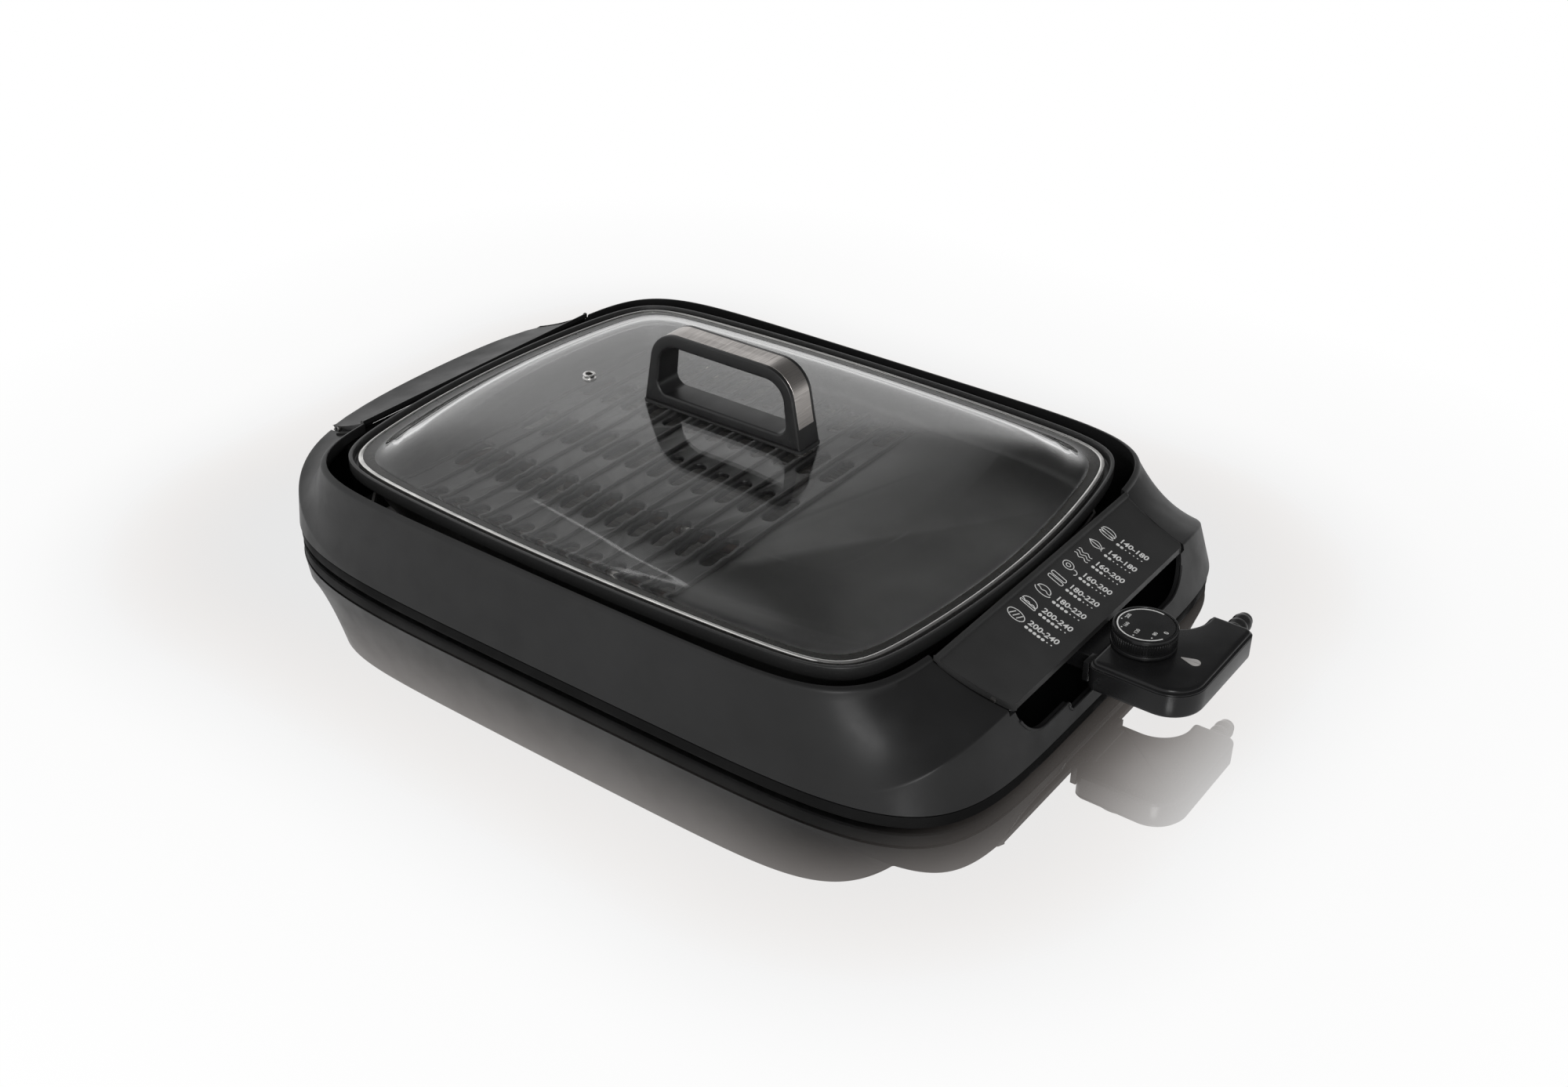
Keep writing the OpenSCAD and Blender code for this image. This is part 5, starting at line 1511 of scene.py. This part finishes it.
class GRILL_OT_thermostat(bpy.types.Operator):
    """Builds the thermostat body, its plug, pilot lens and cord boot"""

    bl_idname = "grill.thermostat"
    bl_label = "Thermostat"

    def execute(self, context):
        s = sizes(context)
        loop, inner = pod_loop(s), pod_loop(s, s.pod_wall)
        y = -s.dial_offset
        start, z = s.pod_start, s.plug_z
        neck = box(start - 3, start + 5.1, y - 18.1, y + 18.1, z - 5.6, z + 5.6, 0.05)
        boot_hole = revolve([(4.6, s.pod_back - 6), (4.6, s.pod_back + 2)], 40, "y", (s.boot_x, 0, s.boot_z))
        lower = cup(loop, s.pod_low, s.pod_joint - 0.1, s.pod_wall, s.pod_low + s.pod_wall, 2.4, inner)
        make_piece("pod_lower_case", [lower], [neck, boot_hole])
        lens_hole = self.lens(s, 0.12, s.pod_top - 2.2, s.pod_top + 1)
        make_piece("pod_upper_case", [self.deck(s)], [lens_hole])
        make_piece("pilot_window", [self.lens(s, 0.0, s.pod_top - 2, s.pod_top + 0.15)])
        self.make_neck(s, y)
        self.make_boot(s)
        return {"FINISHED"}

    def deck(self, s):
        """The upper case: a small shoulder above the joint, then a fillet up to the flat deck."""
        low, top = s.pod_joint + 0.05, s.pod_top
        levels = [(0.25, low), (0.0, low + 0.25), (0.0, low + 0.7), (0.35, low + 1.1), (1.2, low + 1.5)]
        a = np.linspace(0, np.pi / 2, 7)[1:]
        levels += [(1.2 + 2.2 * (1 - np.cos(k)), low + 1.5 + (top - low - 1.5) * np.sin(k)) for k in a]
        rings = [lift(pod_loop(s, i), z) for i, z in levels[::-1]]
        rings += [lift(pod_loop(s, s.pod_wall), low), lift(pod_loop(s, s.pod_wall + 1), top - s.pod_wall)]
        return stack(rings)

    def lens(self, s, grow, low, high):
        """A drop-shaped window that points at the dial."""
        x = s.dial_x
        corners = [(x + 20.6 - grow * 2, -s.dial_offset), (x + 32.2 + grow, -s.dial_offset - 4.4 - grow),
                   (x + 32.2 + grow, -s.dial_offset + 4.4 + grow)]
        return prism(rounded_loop(corners, [0.4, 3.1, 3.1], 10), low, high, 0.05, 0.1)

    def make_neck(self, s, y):
        """The plug that reaches into the housing, with a guard rib on each side."""
        start = s.cover_start + 0.6
        loop = rectangle(start, s.pod_start + 5, y - 18, y + 18, 2)
        plug = prism(loop, s.plug_z - 5.5, s.plug_z + 5.5, 1.0, 1.0)
        guards = [
            box(s.pod_start - 4.5, s.pod_start - 1, middle - 5, middle + 5, 28.5, 40)
            for middle in (y - 22, y + 22)
        ]
        holes = [
            revolve([(r, start - 1), (r, start + 20)], 32, "x", (0, y + across, s.plug_z))
            for across, r in ((-12, 3.8), (12, 3.8), (0, 3.05))
        ]
        make_piece("plug_body", [plug], holes)
        make_piece("plug_guards", guards)

    def make_boot(self, s):
        """A ribbed rubber boot: three rings that swell by a half sine, and a rounded end."""
        r, y0 = s.boot_radius, s.pod_back - 0.3
        along = np.linspace(0, s.boot_length + 0.3, 70)
        swell = np.abs(np.sin(np.pi * np.clip(along, 0, RIBBED_LENGTH) / RIB_PITCH)) ** 0.7
        radius = r - RIB_DEPTH + RIB_DEPTH * swell * (1 - 0.03 * along)
        end = np.clip((along - RIBBED_LENGTH) / (s.boot_length + 0.3 - RIBBED_LENGTH), 0, 1)
        rounded = r - RIB_DEPTH - 1.2 * (1 - np.sqrt(1 - 0.96 * end**2))
        radius = np.where(along > RIBBED_LENGTH, rounded, radius)
        hole = s.cord_hole / 2
        profile = list(zip(radius, along + y0))
        profile += [(hole + 0.2, y0 + s.boot_length + 0.3), (hole, y0 + s.boot_length), (hole, y0)]
        boot = revolve(profile, 56, "y", (s.boot_x, 0, s.boot_z), True)
        make_piece("ribbed_boot", [boot])


class GRILL_OT_dial(bpy.types.Operator):
    """Builds the temperature dial with its ribs, face and figures"""

    bl_idname = "grill.dial"
    bl_label = "Dial"

    def execute(self, context):
        s = sizes(context)
        r, low, top = s.dial_diameter / 2, s.dial_low, s.dial_low + s.dial_height
        count = s.rib_count * 8
        angle = np.linspace(0, TAU, count, endpoint=False)
        ribs = np.clip(np.cos(s.rib_count * angle) * 1.6, -1, 1) * 0.5 + 0.5
        levels = [
            (r - 1.2, low, 0), (r - 0.35, low + 0.15, 0), (r, low + 0.5, 0), (r, low + 2.0, 0),
            (r - 0.15, low + 2.25, 0), (r - 0.75, low + 2.4, 0), (r - 0.8, low + 2.9, 0),
            (r - 0.8, low + 3.3, 0.55), (r - 0.85, low + 8.0, 0.5), (r - 0.85, low + 8.5, 0),
            (r - 0.75, low + 8.7, 0), (r - 0.3, low + 9.0, 0), (r - 0.2, low + 9.4, 0),
            (r - 0.25, top - 0.7, 0), (r - 0.5, top - 0.2, 0), (r - 1.0, top, 0),
            (r - 1.5, top - 0.05, 0), (r - 1.75, top - 0.4, 0), (r - 1.8, top - 1.0, 0),
        ]
        rings = []
        for radius, height, depth in levels:
            reach = radius + depth * ribs
            rings.append(lift(np.stack([reach * np.cos(angle), reach * np.sin(angle)], -1), height))
        centre = (s.dial_x, -s.dial_offset, 0)
        knob = moved(stack(rings), *centre)
        make_piece("dial_grip", [knob])
        face = top - 0.35
        profile = [(r - 2.1, top - 1.3), (r - 2.1, face - 0.15), (r - 2.25, face), (1.0, face)]
        disc = revolve(profile, 96, "z", centre)
        make_piece("dial_face", [disc])
        self.make_marks(s, centre, face)
        return {"FINISHED"}

    def make_marks(self, s, centre, face):
        """A pale arc round the face, and plain figures that rise clockwise from 0."""
        marks = [ribbon(arc((0, 0), 14.6, 14.6, 77, 332, 90), 0.75)]
        figure_places = [
            ("0", 11.9, -0.7, 2.6), ("80", 7.6, -4.9, 2.1), ("120", -1.0, -8.4, 2.1),
            ("160", -8.4, -5.8, 2.1), ("200", -11.2, 2.0, 2.1),
        ]
        for text, x, y, height in figure_places:
            points, faces = figures(text, height, 0.2, 0.006, "CENTER")
            upright = np.stack([-points[:, 1] + height / 2, points[:, 0], points[:, 2]], -1)
            marks.append(moved((upright, faces), x, y))
        for x, y in ((8.0, -9.4), (-0.9, -12.6), (-9.3, -9.2), (-12.8, -2.2)):
            marks += [moved(dot, x, y) for dot in dots(1, 1, 0.0, 0.0, 0.45)]
        points, faces = joined(marks)
        points[:, 2] = np.where(points[:, 2] > 0, *DIAL_INK)
        make_piece("dial_marks", [moved((points, faces), centre[0], centre[1], face)])


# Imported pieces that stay


class GRILL_OT_inner_finishes(bpy.types.Operator):
    """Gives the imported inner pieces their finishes"""

    bl_idname = "grill.inner_finishes"
    bl_label = "Inner finishes"

    def execute(self, context):
        for finish, nodes in KEPT_NODES.items():
            for node in nodes:
                dress(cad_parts[node].data, finish)
        return {"FINISHED"}


# Stage, in metres

FLOOR_REACH, FLOOR_DROP = 4.0, 0.0002
# Distances from the grill over which the floor's mirror, its glow and its painted warm reflection tint fade
MIRROR_FADE, GLOW_FADE, PAINTED_TINT_FADE = (0.0, 0.175), (0.0, 0.35), (0.02, 0.11)
NEAR_GLOW = 0.72
# Painted reflection: a warm tint in the floor's glow near the grill, which fades to plain white further out
PAINTED_REFLECTION_TINT, WHITE = (0.95, 0.84, 0.77, 1.0), (1.0, 1.0, 1.0, 1.0)
# The grill's footprint: its corner radius, and how far its right end is drawn in
FOOTPRINT_CORNER, FOOTPRINT_INSET = 0.065, 0.022
# The side on which the grill's surroundings grow dim, from where to where, and the two levels
DIM_SIDE, DIM_SPAN, DIM_LEVELS = (0.42, 0.31, 1.0), (0.40, 0.72), (1.05, 0.10)
WORLD_LIGHT = 0.8
# The background's own colour is a grey of 0.8, which this strength turns to white
CAMERA_WHITE = 1.25
# Lamps: name, place, size, the setting for its power, and whether it shows in mirrors and glass
LAMPS = (
    ("key_softbox", (-0.81, -0.48, 1.30), (1.1, 0.4), "key_power", False),
    ("shoulder_strip", (-0.81, -0.56, 1.30), (1.0, 0.025), "strip_power", True),
    ("front_softbox", (1.2, -1.5, 0.9), (0.5, 1.0), "front_power", True),
)


class GRILL_OT_stage(bpy.types.Operator):
    """Builds the floor, the studio light and the camera"""

    bl_idname = "grill.stage"
    bl_label = "Stage"

    def execute(self, context):
        settings = context.scene.grill_stage
        self.make_camera(context, settings)
        self.make_floor(context, settings)
        self.make_world(context)
        for lamp in LAMPS:
            self.make_lamp(context, settings, *lamp)
        context.scene.view_settings.view_transform = "Standard"
        return {"FINISHED"}

    def make_camera(self, context, settings):
        """The camera of the photo, turned a little about its view line."""
        data = bpy.data.cameras.new("photo_camera")
        data.lens = settings.lens
        data.sensor_fit = "HORIZONTAL"
        camera = bpy.data.objects.new("photo_camera", data)
        aim = Vector(settings.aim).normalized()
        right = aim.cross(Vector((0, 0, 1))).normalized()
        up = right.cross(aim)
        cos, sin = np.cos(settings.roll), np.sin(settings.roll)
        right, up = cos * right + sin * up, cos * up - sin * right
        turn = Matrix((right, up, -aim)).transposed().to_4x4()
        camera.matrix_world = Matrix.Translation(settings.eye) @ turn
        context.scene.collection.objects.link(camera)
        context.scene.camera = camera

    def make_floor(self, context, settings):
        """A pale glossy floor that mirrors the grill close to it, with a painted warm reflection tint there,
        and is plain further out.
        """
        mesh = bpy.data.meshes.new("floor")
        reach = FLOOR_REACH
        corners = [(-reach, -reach), (reach, -reach), (reach, reach), (-reach, reach)]
        mesh.from_pydata([(x, y, -FLOOR_DROP) for x, y in corners], [], [(0, 1, 2, 3)])
        floor = bpy.data.objects.new("floor", mesh)
        context.scene.collection.objects.link(floor)
        f = Finish("pale_floor", settings.floor_colour, 0.8, Specular_IOR_Level=0.0)
        apart = self.distance_from_grill(f)
        fade = f.spread(apart, 1.0, 0.0, *MIRROR_FADE)
        fade.node.interpolation_type = "SMOOTHSTEP"
        # Painted reflection: the floor's glow is tinted warm near the grill and is white further out
        tone = blend(f.tree, f.spread(apart, 0.0, 1.0, *PAINTED_TINT_FADE), PAINTED_REFLECTION_TINT, WHITE, True)
        plain = f.node("ShaderNodeEmission", Color=tone, Strength=1.0)
        seen = f.node("ShaderNodeLightPath").outputs["Is Camera Ray"]
        glow = f.spread(apart, NEAR_GLOW, 1.0, *GLOW_FADE)
        away = f.node("ShaderNodeMath", glow, seen, operation="MULTIPLY")
        pale = f.node("ShaderNodeMixShader", away.outputs[0], f.shader.outputs[0], plain.outputs[0])
        mirror = f.node("ShaderNodeBsdfGlossy", Color=WHITE, Roughness=0.0)
        f.show(f.node("ShaderNodeMixShader", fade, pale.outputs[0], mirror.outputs[0]))
        mesh.materials.append(f.material)

    def distance_from_grill(self, f):
        """Distance from the housing's round footprint: from a smaller one, less the corner radius."""
        low, high = BASE_BOX[0] * MM, BASE_BOX[1] * MM
        high = high - np.array([FOOTPRINT_INSET, 0, 0])
        middle, size = (low + high) / 2, (high - low) / 2 - FOOTPRINT_CORNER
        spot = f.space
        for operation, *other in (
            ("SUBTRACT", (float(middle[0]), 0.0, 0.0)),
            ("ABSOLUTE",),
            ("SUBTRACT", (float(size[0]), float(size[1]), 0.0)),
            ("MAXIMUM", (0.0, 0.0, 0.0)),
        ):
            spot = f.node("ShaderNodeVectorMath", spot, *other, operation=operation).outputs[0]
        far = f.node("ShaderNodeVectorMath", spot, operation="LENGTH").outputs["Value"]
        return f.node("ShaderNodeMath", far, FOOTPRINT_CORNER, operation="SUBTRACT").outputs[0]

    def make_world(self, context):
        """White to the camera and in the floor, an even level for light, and for the grill's own
        reflections white at the far left that falls off overhead and to the right.
        """
        world = bpy.data.worlds.new("studio")
        world.use_nodes = True
        context.scene.world = world
        tree = world.node_tree
        tree.nodes.clear()
        rays = add_node(tree, "ShaderNodeLightPath").outputs
        place = add_node(tree, "ShaderNodeTexCoord").outputs["Generated"]
        tilt = add_node(tree, "ShaderNodeVectorMath", place, DIM_SIDE, operation="DOT_PRODUCT")
        fall = add_node(tree, "ShaderNodeMapRange", tilt.outputs["Value"], *DIM_SPAN, *DIM_LEVELS)
        fall.interpolation_type = "SMOOTHSTEP"
        mirrored_ray = self.either(tree, rays["Is Glossy Ray"], rays["Is Transmission Ray"])
        light = blend(tree, mirrored_ray, WORLD_LIGHT, fall.outputs["Result"])
        plain = self.either(tree, rays["Is Camera Ray"], rays["Is Singular Ray"])
        white = blend(tree, rays["Is Camera Ray"], 1.0, CAMERA_WHITE)
        strength = blend(tree, plain, light, white)
        background = add_node(tree, "ShaderNodeBackground", Strength=strength)
        add_node(tree, "ShaderNodeOutputWorld", Surface=background.outputs[0])

    def either(self, tree, first, second):
        """1 where either of two kinds of ray arrives."""
        return add_node(tree, "ShaderNodeMath", first, second, operation="MAXIMUM").outputs[0]

    def make_lamp(self, context, settings, name, place, size, power, mirrored_too):
        """A rectangular lamp that faces the grill."""
        data = bpy.data.lights.new(name, "AREA")
        data.shape = "RECTANGLE"
        data.size, data.size_y = size
        data.energy = getattr(settings, power)
        lamp = bpy.data.objects.new(name, data)
        lamp.location = place
        lamp.rotation_euler = (-Vector(place)).to_track_quat("-Z", "Y").to_euler()
        lamp.visible_glossy = lamp.visible_transmission = mirrored_too
        context.scene.collection.objects.link(lamp)


OPERATORS = [
    GRILL_OT_stage, GRILL_OT_housing, GRILL_OT_covers, GRILL_OT_guide_print, GRILL_OT_base, GRILL_OT_plate,
    GRILL_OT_tray, GRILL_OT_lid, GRILL_OT_handle, GRILL_OT_thermostat, GRILL_OT_dial, GRILL_OT_inner_finishes,
]


class GRILL_PT_panel(bpy.types.Panel):
    """Lists the grill's pieces and their sizes"""

    bl_idname = "GRILL_PT_panel"
    bl_label = "Electric grill"
    bl_space_type = "VIEW_3D"
    bl_region_type = "UI"
    bl_category = "Grill"

    def draw(self, context):
        for name in GROUPS:
            group = getattr(context.scene, name)
            column = self.layout.box().column()
            for prop in group.bl_rna.properties.keys():
                if prop not in ("rna_type", "name"):
                    column.prop(group, prop, text=prop.replace("_", " ").capitalize())
        for operator in OPERATORS:
            self.layout.operator(operator.bl_idname)


def register():
    """Adds the properties, operators and panel."""
    for name, group in GROUPS.items():
        bpy.utils.register_class(group)
        setattr(bpy.types.Scene, name, PointerProperty(type=group))
    for cls in (*OPERATORS, GRILL_PT_panel):
        bpy.utils.register_class(cls)


def unregister():
    """Takes them away again."""
    for cls in (GRILL_PT_panel, *reversed(OPERATORS)):
        bpy.utils.unregister_class(cls)
    for name, group in GROUPS.items():
        delattr(bpy.types.Scene, name)
        bpy.utils.unregister_class(group)


def main():
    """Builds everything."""
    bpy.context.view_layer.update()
    register()
    FINISHES.update(make_finishes(bpy.context.scene.grill_colours))
    for operator in OPERATORS:
        getattr(bpy.ops.grill, operator.bl_idname.split(".")[1])()


if __name__ == "__main__":
    main()
